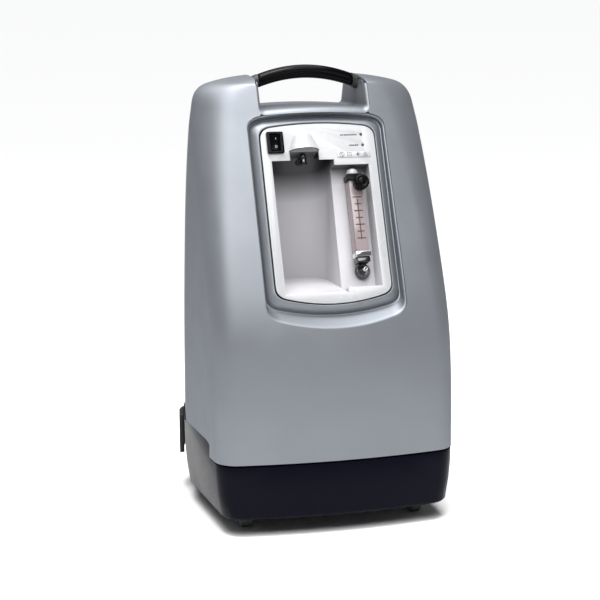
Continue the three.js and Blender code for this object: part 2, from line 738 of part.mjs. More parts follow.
// Hood over the humidifier connection: half a hollow cone on the panel's face.
function humidifierHood() {
  const rings = (inset) =>
    [0, 0.25, 0.5, 0.75, 0.92, 1].map((part) => {
      const s = HOOD.lowS + (HOOD.highS - HOOD.lowS) * part - (inset && part === 1 ? inset : 0);
      const shrink = part > 0.9 ? (part - 0.9) * 22 : 0;
      const radius = HOOD.footRadius + (HOOD.topRadius - HOOD.footRadius) * part - inset - shrink;
      const ring = [];
      for (let k = 0; k < 24; k += 1) {
        const turn = (2 * Math.PI * k) / 24;
        ring.push(new THREE.Vector3(HOOD.x + radius * Math.cos(turn), s, radius * 0.85 * Math.sin(turn)));
      }
      return ring;
    });
  const aboveFace = box([-150, 150, GAP], [150, 300, 60]);
  const mouth = box([HOOD.x - 17, HOOD.lowS - 5, -5], [HOOD.x + 17, HOOD.lowS + 0.5, 12]);
  const hollow = union(loft(rings(2.5)), mouth);
  return cut(loft(rings(0)), hollow).intersect(aboveFace);
}
piece("humidifier_hood", humidifierHood(), whitePanel, panel);

// Gas elbow that the humidifier bottle's tube pushes on: out of the notch's back wall, then down.
function humidifierElbow() {
  const { s, n, back } = ELBOW;
  const stub = rod("z", [HOOD.x, s, (n + back) / 2], n - back, 5, { sides: 16 });
  const ball = solid(new THREE.SphereGeometry(ELBOW.ball, 16, 10).translate(HOOD.x, s, n));
  const down = rod("y", [HOOD.x, s - 7, n], 14, 4.2, { tip: 5, sides: 16 });
  const barb = rod("y", [HOOD.x, s - 11, n], 4, 4, { tip: 5.6, sides: 16 });
  return union(stub, ball, down, barb);
}
piece("humidifier_elbow", humidifierElbow(), smokedChrome, panel);

// ---------- flowmeter ----------

const METER = { x: 52, low: 62, high: 176, width: 20, depth: 24 };
const meter = new THREE.Group();
const METER_BACK = -METER_BAY.topDepth + 2.5;
meter.position.set(METER.x, 0, METER_BACK);
panel.add(meter);

// The float's tube: a bore that runs out at both ends of the clear block.
const FLOAT_RADIUS = 3.4;
const BORE = { radius: 4.2, front: 13 };
function meterBlock() {
  const { low, high, width, depth } = METER;
  const block = raised(roundedRectangle(width, high - low, 3, [0, (low + high) / 2]), 0, depth, 4);
  const bore = rod("y", [0, (low + high) / 2, BORE.front], high - low + 10, BORE.radius, { sides: 16 });
  return cut(block, bore);
}
piece("flowmeter_block", meterBlock(), clearAcrylic, meter);
const float = new THREE.SphereGeometry(FLOAT_RADIUS, 16, 10).translate(0, METER.low + 8, BORE.front);
piece("flowmeter_float", solid(float), smokedChrome, meter);

// Valve at the top of the flowmeter with its knob, under a white cap.
const KNOB = { x: 6, s: 168, radius: 12, low: 27, high: 42 };
function valveBody() {
  const collar = box([-11, METER.high + GAP, 0], [11, METER.high + 9, METER.depth + 1]);
  const lug = box([-13, METER.high - 2, METER.depth + GAP], [6, METER.high + 5, METER.depth + 2.5]);
  const spindle = rod("z", [KNOB.x, KNOB.s, METER.depth + 5], 9, 3, { sides: 12 });
  const boss = rod("z", [KNOB.x, KNOB.s, METER.depth + 1.4], 2.2, 9, { sides: 20 });
  return union(collar, lug, boss, spindle);
}
piece("flow_valve_body", valveBody(), blackGloss, meter);

function flowKnob() {
  const skirt = turned([
    [3.3, KNOB.low],
    [KNOB.radius, KNOB.low],
    [KNOB.radius, KNOB.high - 2],
    [KNOB.radius - 2, KNOB.high],
    [0, KNOB.high],
    [0, KNOB.low + 8],
    [3.3, KNOB.low + 8],
    [3.3, KNOB.low],
  ], [KNOB.x, KNOB.s, 0], 28);
  const flutes = Array.from({ length: 14 }, (_, i) => {
    const turn = (2 * Math.PI * i) / 14;
    const reach = KNOB.radius + 0.7;
    const [x, s] = [KNOB.x + reach * Math.cos(turn), KNOB.s + reach * Math.sin(turn)];
    return rod("z", [x, s, 35], 30, 1.4, { sides: 6 });
  });
  return cut(skirt, ...flutes);
}
piece("flow_knob", flowKnob(), blackGloss, meter);

const cap = turned([
  [0, 0],
  [9, 0],
  [9, 5],
  [7.5, 8.5],
  [4, 10.5],
  [0, 11],
], [0, 0, 0], 20);
const capGeometry = geometryOf(cap).rotateX(-Math.PI / 2).translate(0, METER.high + 9 + GAP, 12);
piece("flowmeter_cap", solid(capGeometry), whitePanel, meter);

// Lower fitting: a bright band and a dark foot that feed the flowmeter from behind.
const band = raised(roundedRectangle(24, 8, 1.5, [0, METER.low - 4 - GAP]), 0, METER.depth + 1.5, 3);
piece("flowmeter_band", band, brightChrome, meter);
const foot = raised(roundedRectangle(20, 7.5, 1.5, [1, METER.low - 12.5]), 0, METER.depth - 3, 3);
piece("flowmeter_foot", foot, smokedChrome, meter);

// Oxygen outlet: a collar against the bay's back wall and a barbed nipple through it.
const OUTLET_WALL = -34.2;
const collar = turned([
  [5.6, 0],
  [12, 0],
  [12, 5],
  [10.5, 8],
  [8.5, 8],
  [7.5, 6],
  [5.6, 6],
  [5.6, 0],
], [0, 0, 0], 20);
const collarGeometry = geometryOf(collar).translate(OUTLET.x, OUTLET.s, OUTLET_WALL + 1);
piece("outlet_collar", solid(collarGeometry), smokedChrome, panel);
const nipple = turned([
  [1.5, -16],
  [5, -16],
  [5, 7],
  [3.6, 9],
  [4.4, 11],
  [3.2, 16],
  [4.2, 16.5],
  [2.8, 22],
  [1.5, 22],
  [1.5, -16],
], [0, 0, 0], 14);
const nippleGeometry = geometryOf(nipple).translate(OUTLET.x, OUTLET.s, OUTLET_WALL + 1);
piece("oxygen_outlet", solid(nippleGeometry), brightChrome, panel);

// ---------- rear fittings ----------

// A plate against the rear shell's outer face with a plug that fills its window.
function rearFitting(window, rim, depth, thickness) {
  const [left, low, right, high] = window;
  const face = REAR_Y + GAP;
  const plate = box([left - rim, face, low - rim], [right + rim, face + thickness, high + rim]);
  return union(plate, box([left, REAR_Y - depth, low], [right, REAR_Y + 1, high]));
}

function filterGrille() {
  const [left, low, right, high] = REAR_WINDOW.filter;
  const cover = rearFitting(REAR_WINDOW.filter, 7, 3, 2.5);
  const slats = 7;
  const pitch = (high - low - 8) / slats;
  const slots = Array.from({ length: slats }, (_, i) => {
    const z = low + 8 + i * pitch;
    return box([left + 8, REAR_Y - 10, z], [right - 8, REAR_Y + 10, z + pitch - 6]);
  });
  return cut(cover, ...slots);
}
piece("filter_grille", filterGrille(), navyPlastic);
const [filterLeft, filterLow, filterRight, filterHigh] = REAR_WINDOW.filter;
const foam = box(
  [filterLeft + 1, REAR_Y - 15, filterLow + 1],
  [filterRight - 1, REAR_Y - 3 - GAP, filterHigh - 1],
);
piece("cabinet_filter", foam, foamGrey);

function hourMeter() {
  const [left, low, right, high] = REAR_WINDOW.meter;
  const body = rearFitting(REAR_WINDOW.meter, 3, 24, 2);
  return cut(body, box([left + 4, REAR_Y + 1, low + 6], [right - 4, REAR_Y + 9, high - 6]));
}
piece("hour_meter", hourMeter(), blackGloss);

const BREAKER = { x: -19, z: 164, radius: 4 };
function breakerBody() {
  const bore = rod("y", [BREAKER.x, REAR_Y - 2, BREAKER.z], 24, BREAKER.radius + GAP, { sides: 16 });
  return cut(rearFitting(REAR_WINDOW.breaker, 3, 26, 2.5), bore);
}
piece("circuit_breaker", breakerBody(), blackGloss);
const button = rod("y", [BREAKER.x, REAR_Y + 1, BREAKER.z], 12, BREAKER.radius, { sides: 16 });
piece("breaker_button", button, whitePanel);

function powerInlet() {
  const [left, low, right, high] = REAR_WINDOW.inlet;
  const x = (left + right) / 2;
  const z = (low + high) / 2;
  const body = rearFitting(REAR_WINDOW.inlet, 5, 28, 3);
  const socket = box([left + 5, REAR_Y - 15, low + 6], [right - 5, REAR_Y + 9, high - 6]);
  const pins = [x - 8, x, x + 8].map((pinX) =>
    box([pinX - 1, REAR_Y - 17, z - 3], [pinX + 1, REAR_Y - 1, z + 3]),
  );
  return union(cut(body, socket), ...pins);
}
piece("power_inlet", powerInlet(), blackRubber);

// ---------- frame inside the cabinet ----------

const PLATE_Z = 56; // top of the chassis plate
const SHELF_Z = 250; // top of the shelf that carries the fan
const FAN = { x: 0, y: -36, size: 104, depth: 30 };
function chassisFrame() {
  const plate = box([-152, -118, PLATE_Z - 3], [152, 152, PLATE_Z]);
  const uprights = [-152, 149.5].map((x) => box([x, -90, PLATE_Z - 2], [x + 2.5, 20, SHELF_Z]));
  const shelf = box([-152, -95, SHELF_Z - 2.5], [152, 24, SHELF_Z]);
  const fanHole = rod("z", [FAN.x, FAN.y, SHELF_Z], 20, FAN.size / 2 - 5, { sides: 32 });
  return cut(union(plate, ...uprights, shelf), fanHole);
}
piece("chassis_frame", chassisFrame(), zincSteel);

const MOUNT_HEIGHT = PLATE_Z - 3 - BASE_FLOOR_TOP_Z - 2 * GAP;
for (const [name, x, y] of [
  ["front_left", -90, -95],
  ["front_right", 90, -95],
  ["rear_left", -70, 125],
  ["rear_right", 70, 125],
]) {
  const z = BASE_FLOOR_TOP_Z + GAP + MOUNT_HEIGHT / 2;
  piece("isolation_mount_" + name, rod("z", [x, y, z], MOUNT_HEIGHT, 12, { sides: 16 }), blackRubber);
}

// ---------- compressor ----------

const COMPRESSOR = { y: FAN.y, z: 128, radius: 46, half: 62 };
const SHAFT_RADIUS = 6;
function compressorBody() {
  const { y, z, radius, half } = COMPRESSOR;
  const motor = rod("x", [0, y, z], 2 * half, radius, { sides: 20 });
  const rings = [-40, 0, 40].map((x) => rod("x", [x, y, z], 9, radius + 5, { sides: 20 }));
  const feet = [-42, 42].map((x) => box([x - 11, y - 40, PLATE_Z + GAP], [x + 11, y + 40, z - 20]));
  const bore = rod("x", [0, y, z], 2 * half + 10, SHAFT_RADIUS + 0.5, { sides: 16 });
  return cut(union(motor, ...rings, ...feet), bore);
}
piece("compressor_body", compressorBody(), castAluminium);

// A cylinder with cooling fins on top of the crankcase, flat at its foot.
function compressorHead(x) {
  const { y, z, radius } = COMPRESSOR;
  const low = z + radius + 5 + GAP;
  const barrel = rod("z", [x, y, low + 17], 34, 19, { sides: 16 });
  const foot = box([x - 17, y - 17, low], [x + 17, y + 17, low + 5]);
  const fins = [low + 10, low + 19, low + 28].map((finZ) =>
    box([x - 25, y - 25, finZ], [x + 25, y + 25, finZ + 3]),
  );
  return union(barrel, foot, ...fins);
}
piece("compressor_head_left", compressorHead(-33), castAluminium);
piece("compressor_head_right", compressorHead(33), castAluminium);

const shaftLength = 2 * COMPRESSOR.half + 64;
const shaft = rod("x", [0, COMPRESSOR.y, COMPRESSOR.z], shaftLength, SHAFT_RADIUS, { sides: 20 });
piece("compressor_shaft", shaft, zincSteel);

// A fan on an axis: a hub with pitched blades.
function fan(axis, [x, y, z], { hub, bore, tip, depth, blades }) {
  const parts = Array.from({ length: blades }, (_, i) => {
    const blade = new THREE.BoxGeometry(tip - hub + 2, 2, depth * 0.8);
    blade.rotateX(0.6).translate((tip + hub) / 2 - 1, 0, 0).rotateZ((2 * Math.PI * i) / blades);
    if (axis === "x") blade.rotateY(Math.PI / 2);
    return solid(blade.translate(x, y, z));
  });
  const wheel = union(rod(axis, [x, y, z], depth, hub, { sides: 20 }), ...parts);
  return bore ? cut(wheel, rod(axis, [x, y, z], depth + 4, bore, { sides: 20 })) : wheel;
}
const compressorFan = { hub: 15, bore: SHAFT_RADIUS + GAP, tip: 42, depth: 14, blades: 6 };
const fanX = COMPRESSOR.half + 18;
piece("compressor_fan_left", fan("x", [-fanX, COMPRESSOR.y, COMPRESSOR.z], compressorFan), navyPlastic);
piece("compressor_fan_right", fan("x", [fanX, COMPRESSOR.y, COMPRESSOR.z], compressorFan), navyPlastic);

// ---------- cooling fan and heat exchanger ----------

function fanHousing() {
  const { x, y, size, depth } = FAN;
  const low = SHELF_Z + GAP;
  const frame = raised(roundedRectangle(size, size, 6, [x, y]), low, low + depth, 3);
  const duct = rod("z", [x, y, low + depth / 2], depth + 10, size / 2 - 4, { sides: 32 });
  const spokes = [0, 1, 2, 3].map((i) => {
    const turn = (i * Math.PI) / 2 + 0.4;
    const arm = new THREE.BoxGeometry(size / 2 - 2, 4, 3).translate(size / 4, 0, 0).rotateZ(turn);
    return solid(arm.translate(x, y, low + 1.5));
  });
  const seat = rod("z", [x, y, low + 2], 4, 18, { sides: 20 });
  return union(cut(frame, duct), ...spokes, seat);
}
piece("cooling_fan_housing", fanHousing(), blackGloss);
const rotorCentre = [FAN.x, FAN.y, SHELF_Z + 5 + 11];
const rotor = fan("z", rotorCentre, { hub: 18, bore: 0, tip: 44, depth: 20, blades: 7 });
piece("cooling_fan_rotor", rotor, blackGloss);

// Heat exchanger: a flat coil of copper tube over the fan, its ends turned out to the left.
function heatExchanger() {
  const z = SHELF_Z + FAN.depth + GAP + 5;
  const points = [];
  const perTurn = 10;
  for (let i = 0; i <= 3 * perTurn; i += 1) {
    const turn = (2 * Math.PI * i) / perTurn;
    const radius = 20 + (i * 10) / perTurn;
    points.push([FAN.x + radius * Math.cos(turn), FAN.y + radius * Math.sin(turn), z]);
  }
  return tube(points, 4, 44, 3);
}
piece("heat_exchanger_coil", heatExchanger(), copperTube);

// ---------- gas separation ----------

const BED = { radius: 34, y: 98, low: PLATE_Z + GAP, high: 372 };
function sieveBed(x) {
  const { radius, y, low, high } = BED;
  const profilePoints = [
    [0, low],
    [radius - 3, low],
    [radius, low + 3],
    [radius, low + 14],
    [radius - 3, low + 16],
    [radius - 3, high - 16],
    [radius, high - 14],
    [radius, high - 3],
    [radius - 3, high],
    [0, high],
  ];
  return turned(profilePoints, [x, y, 0], 16);
}
piece("sieve_bed_left", sieveBed(-76), aluminiumTube);
piece("sieve_bed_right", sieveBed(76), aluminiumTube);
const tankProfile = [
  [0, BED.low],
  [22, BED.low],
  [30, BED.low + 8],
  [30, BED.high - 34],
  [22, BED.high - 26],
  [0, BED.high - 26],
];
piece("product_tank", turned(tankProfile, [0, BED.y, 0], 24), navyPlastic);

// Valve block across the tops of both beds, with its four solenoid valves.
function valveManifold() {
  const low = BED.high + GAP;
  const block = box([-110, BED.y - 14, low], [110, BED.y + 14, low + 22]);
  const coils = [-84, -28, 28, 84].map((x) => rod("z", [x, BED.y, low + 34], 26, 12, { sides: 16 }));
  return union(block, ...coils);
}
piece("valve_manifold", valveManifold(), aluminiumTube);

function intakeMuffler() {
  const can = rod("z", [-122, 44, 118], 120, 17, { sides: 20 });
  const neck = rod("z", [-122, 44, 184], 14, 7, { sides: 12 });
  return union(can, neck);
}
piece("intake_muffler", intakeMuffler(), greyPlastic);
piece("run_capacitor", rod("z", [122, 44, PLATE_Z + GAP + 42], 84, 20, { sides: 20 }), aluminiumTube);

// ---------- electronics ----------

function circuitBoard() {
  const low = SHELF_Z + 8;
  const board = box([-148, -92, low], [-62, 20, low + 1.8]);
  const posts = [
    [-142, -86],
    [-68, -86],
    [-142, 14],
    [-68, 14],
  ].map(([x, y]) => box([x - 3, y - 3, SHELF_Z + GAP], [x + 3, y + 3, low + 1]));
  const parts = [
    box([-144, -74, low + 1], [-112, -40, low + 22]),
    box([-104, -80, low + 1], [-84, -60, low + 16]),
    box([-140, -30, low + 1], [-100, -8, low + 6]),
    box([-92, -40, low + 1], [-70, -30, low + 12]),
  ];
  return union(board, ...posts, ...parts);
}
piece("circuit_board", circuitBoard(), greenBoard);

export default concentrator;
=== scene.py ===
import json
import math

import bmesh
import bpy
from mathutils import Matrix, Vector


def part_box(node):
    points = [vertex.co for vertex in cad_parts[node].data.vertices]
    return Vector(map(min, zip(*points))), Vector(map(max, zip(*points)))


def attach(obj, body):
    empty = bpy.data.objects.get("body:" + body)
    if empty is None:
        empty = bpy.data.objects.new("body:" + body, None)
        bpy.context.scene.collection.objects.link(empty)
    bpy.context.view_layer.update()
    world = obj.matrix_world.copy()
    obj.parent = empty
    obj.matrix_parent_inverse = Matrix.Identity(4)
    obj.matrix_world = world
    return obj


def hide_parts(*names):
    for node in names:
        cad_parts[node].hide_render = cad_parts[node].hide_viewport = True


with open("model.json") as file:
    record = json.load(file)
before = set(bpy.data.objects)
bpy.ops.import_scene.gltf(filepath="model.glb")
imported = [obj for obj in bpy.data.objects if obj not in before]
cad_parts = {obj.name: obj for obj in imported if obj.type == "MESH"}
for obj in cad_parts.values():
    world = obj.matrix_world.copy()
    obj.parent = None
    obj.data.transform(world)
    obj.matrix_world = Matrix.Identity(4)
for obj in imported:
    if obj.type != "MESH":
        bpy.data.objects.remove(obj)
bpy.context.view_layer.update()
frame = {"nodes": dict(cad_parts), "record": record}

MM = 0.001

# ---------- cabinet dimensions, in millimetres ----------

FRONT_Y = -184
REAR_Y = 176
SEAM_Y = 28
SEAM_GAP = 0.5
WIDEST_Y = 40
SHELL_FOOT_Z = 114
SHELL_STEP_Z = 137
STEP_Y = -113
FRONT_SLOPE = 0.16
SIDE_TAPER = 0.05
REAR_TAPER = 0.19
REAR_RADIUS = 34
CREST_ROLL = 17.6
SHELL_WALL = 3.0
INNER_WALL = 1.6
SHOULDER_Z = 640
CREST_TOP_Z = 680.9
CREST_FOOT_Z = 670.5
FRONT_HALF = 130
FAR = 50.0

OPENING_HALF_WIDTH = 86
OPENING_FLOOR_Z = 632
OPENING_LIP = 7
OPENING_RADIUS = 8
OPENING_ARCH = 4

PANEL_LEAN = math.radians(22.4)
PANEL_HALF_WIDTH = 91
POCKET_DEPTH = 11
SURROUND_WIDTH = 16
POCKET_EDGE = 2.2

PANEL_FOOT = (0, -142.4, 365.3)
PANEL_MATRIX = (
    Matrix.Translation(PANEL_FOOT) @ Matrix.Rotation(math.pi / 2 - PANEL_LEAN, 4, "X")
)
PANEL_INVERSE = PANEL_MATRIX.inverted()


# ---------- curves ----------


def smooth_through(pairs):
    """A smooth value through (position, value) pairs."""
    xs = [p for p, _ in pairs]
    ys = [v for _, v in pairs]
    last = len(xs) - 1

    def slope(i):
        low, high = max(i - 1, 0), min(i + 1, last)
        return (ys[high] - ys[low]) / (xs[high] - xs[low])

    slopes = [slope(i) for i in range(last + 1)]

    def value(x):
        i = max(0, min(last - 1, sum(1 for p in xs[1:-1] if p <= x)))
        width = xs[i + 1] - xs[i]
        t = (x - xs[i]) / width
        return (
            (2 * t**3 - 3 * t**2 + 1) * ys[i]
            + (t**3 - 2 * t**2 + t) * width * slopes[i]
            + (3 * t**2 - 2 * t**3) * ys[i + 1]
            + (t**3 - t**2) * width * slopes[i + 1]
        )

    return value


front_curve = smooth_through(
    [(-12, FRONT_Y), (114, FRONT_Y), (200, -183), (260, -179), (308, -171), (365, -152),
     (490, -98), (614, -44), (650, -29), (720, 1)]
)
rear_curve = smooth_through(
    [(-12, REAR_Y), (300, REAR_Y), (420, 171), (520, 148), (640, 108), (720, 80)]
)
front_radius = smooth_through([(-12, 26), (300, 30), (480, 40), (640, 54), (720, 54)])
flank_curve = smooth_through(
    [(104, 196), (240, 195.5), (340, 194), (494, 189.5), (600, 183.5), (640, 178.5)]
)


def front_at(z):
    return max(FRONT_Y, front_curve(z))


def rear_at(z):
    return min(REAR_Y, rear_curve(z))


def bezier(points, steps):
    """Points along a Bezier curve of any degree, both ends included."""
    made = []
    for i in range(steps + 1):
        level = [Vector(p) for p in points]
        while len(level) > 1:
            level = [a.lerp(b, i / steps) for a, b in zip(level, level[1:])]
        made.append(level[0])
    return made


def straight(a, b, steps):
    return [a.lerp(b, i / steps) for i in range(steps + 1)]


def round_corner(point, towards, away, radius, steps):
    start = point - towards * radius
    end = point + away * radius
    pull = 0.55 * radius
    return bezier([start, start + towards * pull, end - away * pull, end], steps)


def mirrored(points):
    return [Vector((-p.x, *p[1:])) for p in reversed(points)]


# ---------- the cabinet's surface ----------

CREST_STEPS = 14
SHOULDER = bezier([(178.5, SHOULDER_Z), (174.5, 664.5), (152, CREST_FOOT_Z)], CREST_STEPS)
CREST = bezier([(152, CREST_FOOT_Z), (122, 678.5), (80, 681.5)], CREST_STEPS)


def silhouette(low, step):
    """(height, half width, roll) of each row from a height to the tops of the horns."""
    rows = []
    count = round((SHOULDER_Z - low) / step)
    for i in range(count):
        z = low + (SHOULDER_Z - low) * i / count
        rows.append((z, flank_curve(z), 0.0))
    rows += [(p.y, p.x, 0.0) for p in SHOULDER[:-1]]
    rows += [(p.y, p.x, CREST_ROLL * i / CREST_STEPS) for i, p in enumerate(CREST)]
    return rows


PROFILE = silhouette(20, 10)


def profile_at(z):
    """(half width, roll) at a height."""
    if z <= PROFILE[0][0]:
        return PROFILE[0][1:]
    for low, high in zip(PROFILE, PROFILE[1:]):
        if z <= high[0]:
            t = (z - low[0]) / (high[0] - low[0])
            return low[1] + (high[1] - low[1]) * t, low[2] + (high[2] - low[2]) * t
    return PROFILE[-1][1:]


def front_corner(z, width, front):
    """(corner, direction into it, direction out of it, radius) of the outline's front right corner."""
    radius = max(front_radius(z), 6)
    y = front + FRONT_SLOPE * (width / 2 + radius / 2)
    corner = Vector((width - SIDE_TAPER * (WIDEST_Y - y), y))
    return corner, Vector((1, FRONT_SLOPE)).normalized(), Vector((SIDE_TAPER, 1)).normalized(), radius


def front_surface(x, z):
    """The y of the front's bowed face at a point between its corners."""
    width, roll = profile_at(z)
    front = front_at(z) + roll
    corner, towards, _, radius = front_corner(z, width, front)
    start = corner - towards * radius
    return start.y - 0.5 * FRONT_SLOPE * start.x * (1 - (x / start.x) ** 2)


def front_arc(z, width, roll, seam_y):
    """Outline of the front half at one height, from the left seam round to the right one."""
    front = front_at(z) + roll
    corner, towards, along, radius = front_corner(z, width, front)
    turn = round_corner(corner, towards, along, radius, 14)
    start = turn[0]
    nose = start.y - FRONT_SLOPE * start.x * 0.5
    bow = bezier([(0, nose), (start.x / 2, nose), start], 34)
    seam = Vector((width - SIDE_TAPER * (WIDEST_Y - seam_y), seam_y))
    right = [*bow[:-1], *turn[:-1], *straight(turn[-1], seam, 16)]
    return [Vector((p.x, p.y, z)) for p in [*mirrored(right)[:-1], *right]]


def rear_arc(z, width, roll, seam_y):
    """Outline of the rear half at one height, from the right seam round to the left one."""
    rear = rear_at(z) - roll
    radius = max(min(REAR_RADIUS, (rear - WIDEST_Y) * 0.6), 6)
    corner = Vector((width - REAR_TAPER * (rear - WIDEST_Y), rear))
    along = Vector((-REAR_TAPER, 1)).normalized()
    turn = round_corner(corner, along, Vector((-1, 0)), radius, 10)
    seam = Vector((width - SIDE_TAPER * (WIDEST_Y - seam_y), seam_y))
    widest = Vector((width, WIDEST_Y))
    right = [
        *straight(seam, widest, 2)[:-1],
        *straight(widest, turn[0], 12)[:-1],
        *turn[:-1],
        *straight(turn[-1], Vector((0, rear)), 24),
    ]
    return [Vector((p.x, p.y, z)) for p in [*right, *mirrored(right)[1:]]]


# ---------- mesh building ----------


def mesh_object(name, points, faces):
    mesh = bpy.data.meshes.new(name)
    mesh.from_pydata([tuple(p * MM) for p in points], [], faces)
    mesh.update()
    made = bpy.data.objects.new(name, mesh)
    bpy.context.scene.collection.objects.link(made)
    return made


def tidy(obj, gap=1e-5):
    """Joins doubled points, drops what is loose and turns the faces outwards."""
    work = bmesh.new()
    work.from_mesh(obj.data)
    bmesh.ops.remove_doubles(work, verts=work.verts, dist=gap)
    bmesh.ops.dissolve_degenerate(work, edges=work.edges, dist=gap / 4)
    loose = [v for v in work.verts if not v.link_faces]
    bmesh.ops.delete(work, geom=loose, context="VERTS")
    bmesh.ops.recalc_face_normals(work, faces=work.faces)
    work.to_mesh(obj.data)
    work.free()
    return obj


def flattened(obj, angle):
    """Joins neighbouring faces that lie within an angle of one plane."""
    work = bmesh.new()
    work.from_mesh(obj.data)
    bmesh.ops.dissolve_limit(
        work, angle_limit=math.radians(angle), verts=work.verts, edges=work.edges)
    work.to_mesh(obj.data)
    work.free()
    return obj


def placed(obj, place):
    """Puts a mesh in place by a matrix in millimetres."""
    obj.data.transform(Matrix.Scale(MM, 4) @ place @ Matrix.Scale(1 / MM, 4))
    return obj


def smooth(obj, angle=35):
    for polygon in obj.data.polygons:
        polygon.use_smooth = True
    obj.data.set_sharp_from_angle(angle=math.radians(angle))
    return obj


def bake(obj):
    """Replaces an object's mesh by what its modifiers make of it."""
    graph = bpy.context.evaluated_depsgraph_get()
    mesh = bpy.data.meshes.new_from_object(obj.evaluated_get(graph))
    obj.modifiers.clear()
    obj.data = mesh
    return obj


def cut_with(obj, tool, operation="DIFFERENCE"):
    modifier = obj.modifiers.new("cut", "BOOLEAN")
    modifier.operation = operation
    modifier.solver = "EXACT"
    modifier.object = tool
    bake(obj)
    bpy.data.objects.remove(tool)
    return obj


def bevelled(obj, width, segments=3, angle=30):
    modifier = obj.modifiers.new("bevel", "BEVEL")
    modifier.width = width * MM
    modifier.segments = segments
    modifier.limit_method = "ANGLE"
    modifier.angle_limit = math.radians(angle)
    modifier.harden_normals = False
    return bake(obj)


def thickened(obj, wall, offset=-1):
    modifier = obj.modifiers.new("wall", "SOLIDIFY")
    modifier.thickness = wall * MM
    modifier.offset = offset
    return bake(obj)


def loft(name, rings, closed_ends=True):
    """A skin through rings of equally many points."""
    count = len(rings[0])
    points = [p for ring in rings for p in ring]
    faces = [
        (row * count + k, row * count + (k + 1) % count,
         (row + 1) * count + (k + 1) % count, (row + 1) * count + k)
        for row in range(len(rings) - 1)
        for k in range(count)
    ]
    if closed_ends:
        faces.append(tuple(reversed(range(count))))
        faces.append(tuple(range((len(rings) - 1) * count, len(rings) * count)))
    return tidy(mesh_object(name, points, faces), 1e-6)


def sheet(name, rows, inside=()):
    """A sheet through rows of points, with the points that any inside() counts below zero cut away."""
    count = len(rows[0])
    points = [p for row in rows for p in row]
    worth = [min((test(p) for test in inside), default=1.0) for p in points]
    moved = {}
    for index, value in enumerate(worth):
        if value >= 0:
            continue
        row, column = divmod(index, count)
        best = None
        for r, c in ((row - 1, column), (row + 1, column), (row, column - 1), (row, column + 1)):
            if 0 <= r < len(rows) and 0 <= c < count and worth[r * count + c] >= 0:
                a, b = points[index], points[r * count + c]
                low, high = 0.0, 1.0
                for _ in range(14):
                    middle = (low + high) / 2
                    if min(test(a.lerp(b, middle)) for test in inside) < 0:
                        low = middle
                    else:
                        high = middle
                if best is None or high < best[0]:
                    best = (high, a.lerp(b, high))
        if best is not None:
            moved[index] = best[1]
    for index, point in moved.items():
        points[index] = point
    faces = []
    for row in range(len(rows) - 1):
        for k in range(count - 1):
            a = row * count + k
            corners = (a, a + 1, a + 1 + count, a + count)
            kept = [i for i in corners if worth[i] >= 0 or i in moved]
            if len(kept) >= 3 and any(worth[i] >= 0 for i in kept):
                faces.append(tuple(kept))
    return mesh_object(name, points, faces)


def joined(name, objects):
    """Several meshes as one object."""
    work = bmesh.new()
    for obj in objects:
        work.from_mesh(obj.data)
        bpy.data.objects.remove(obj)
    mesh = bpy.data.meshes.new(name)
    work.to_mesh(mesh)
    work.free()
    made = bpy.data.objects.new(name, mesh)
    bpy.context.scene.collection.objects.link(made)
    return made


# ---------- holes in the shells ----------


def lip_flare(depth):
    """How far the hand opening's mouth flares at a depth behind the cabinet's face."""
    part = max(0.0, min(1.0, 1 - depth / OPENING_LIP))
    return OPENING_LIP * (1 - math.sqrt(1 - part * part))


def opening_gap(x, z, flare):
    """How far a point is outside the hand opening's section."""
    half = OPENING_HALF_WIDTH + flare * 0.5
    floor = OPENING_FLOOR_Z - flare + OPENING_ARCH * max(0.0, 1 - (abs(x) / half) ** 2)
    radius = OPENING_RADIUS + flare * 0.5
    across = abs(x) - (half - radius)
    down = (floor + radius) - z
    outside = math.hypot(max(across, 0), max(down, 0))
    return outside + min(max(across, down), 0) - radius


def front_opening(p):
    depth = p.y - front_surface(max(-FRONT_HALF, min(FRONT_HALF, p.x)), p.z)
    return opening_gap(p.x, p.z, lip_flare(depth))


def rear_opening(p):
    roll = profile_at(p.z)[1]
    depth = rear_at(p.z) - roll - p.y
    return opening_gap(p.x, p.z, lip_flare(depth))


def panel_outline(grow=0.0, sink=0.0, steps=10, inner_scale=0.6):
    """The control panel's outline in its own frame, let out by grow, its foot lowered by sink."""
    half = PANEL_HALF_WIDTH + grow
    inner = 74 + grow * inner_scale
    top = 262 + grow
    bottom = -7 - grow - sink
    rise = bottom + 19 + sink * 0.45
    return [
        *bezier([(0, bottom - 10), (inner / 2, bottom - 10), (inner, bottom)], 2 * steps)[:-1],
        *bezier([(inner, bottom), (half, bottom + 4), (half, rise)], steps)[:-1],
        *straight(Vector((half, rise)), Vector((half, top - 19)), 3 * steps)[:-1],
        *bezier([(half, top - 19), (half, top - 3), (inner, top)], steps)[:-1],
        *bezier([(inner, top), (0, top + 10), (-inner, top)], 4 * steps)[:-1],
        *bezier([(-inner, top), (-half, top - 3), (-half, top - 19)], steps)[:-1],
        *straight(Vector((-half, top - 19)), Vector((-half, rise)), 3 * steps)[:-1],
        *bezier([(-half, rise), (-half, bottom + 4), (-inner, bottom)], steps)[:-1],
        *bezier([(-inner, bottom), (-inner / 2, bottom - 10), (0, bottom - 10)], 2 * steps)[:-1],
    ]


WALL_RISE = 41
SIDE_RUN = 0.14
FOOT_RUN = 1.35


def pocket_outline(part, grow=0.0):
    """The pocket's outline at a part of the way from its foot up to its full rise."""
    return panel_outline(
        SURROUND_WIDTH + SIDE_RUN * WALL_RISE * part + grow,
        1 + (FOOT_RUN - SIDE_RUN) * WALL_RISE * part,
    )


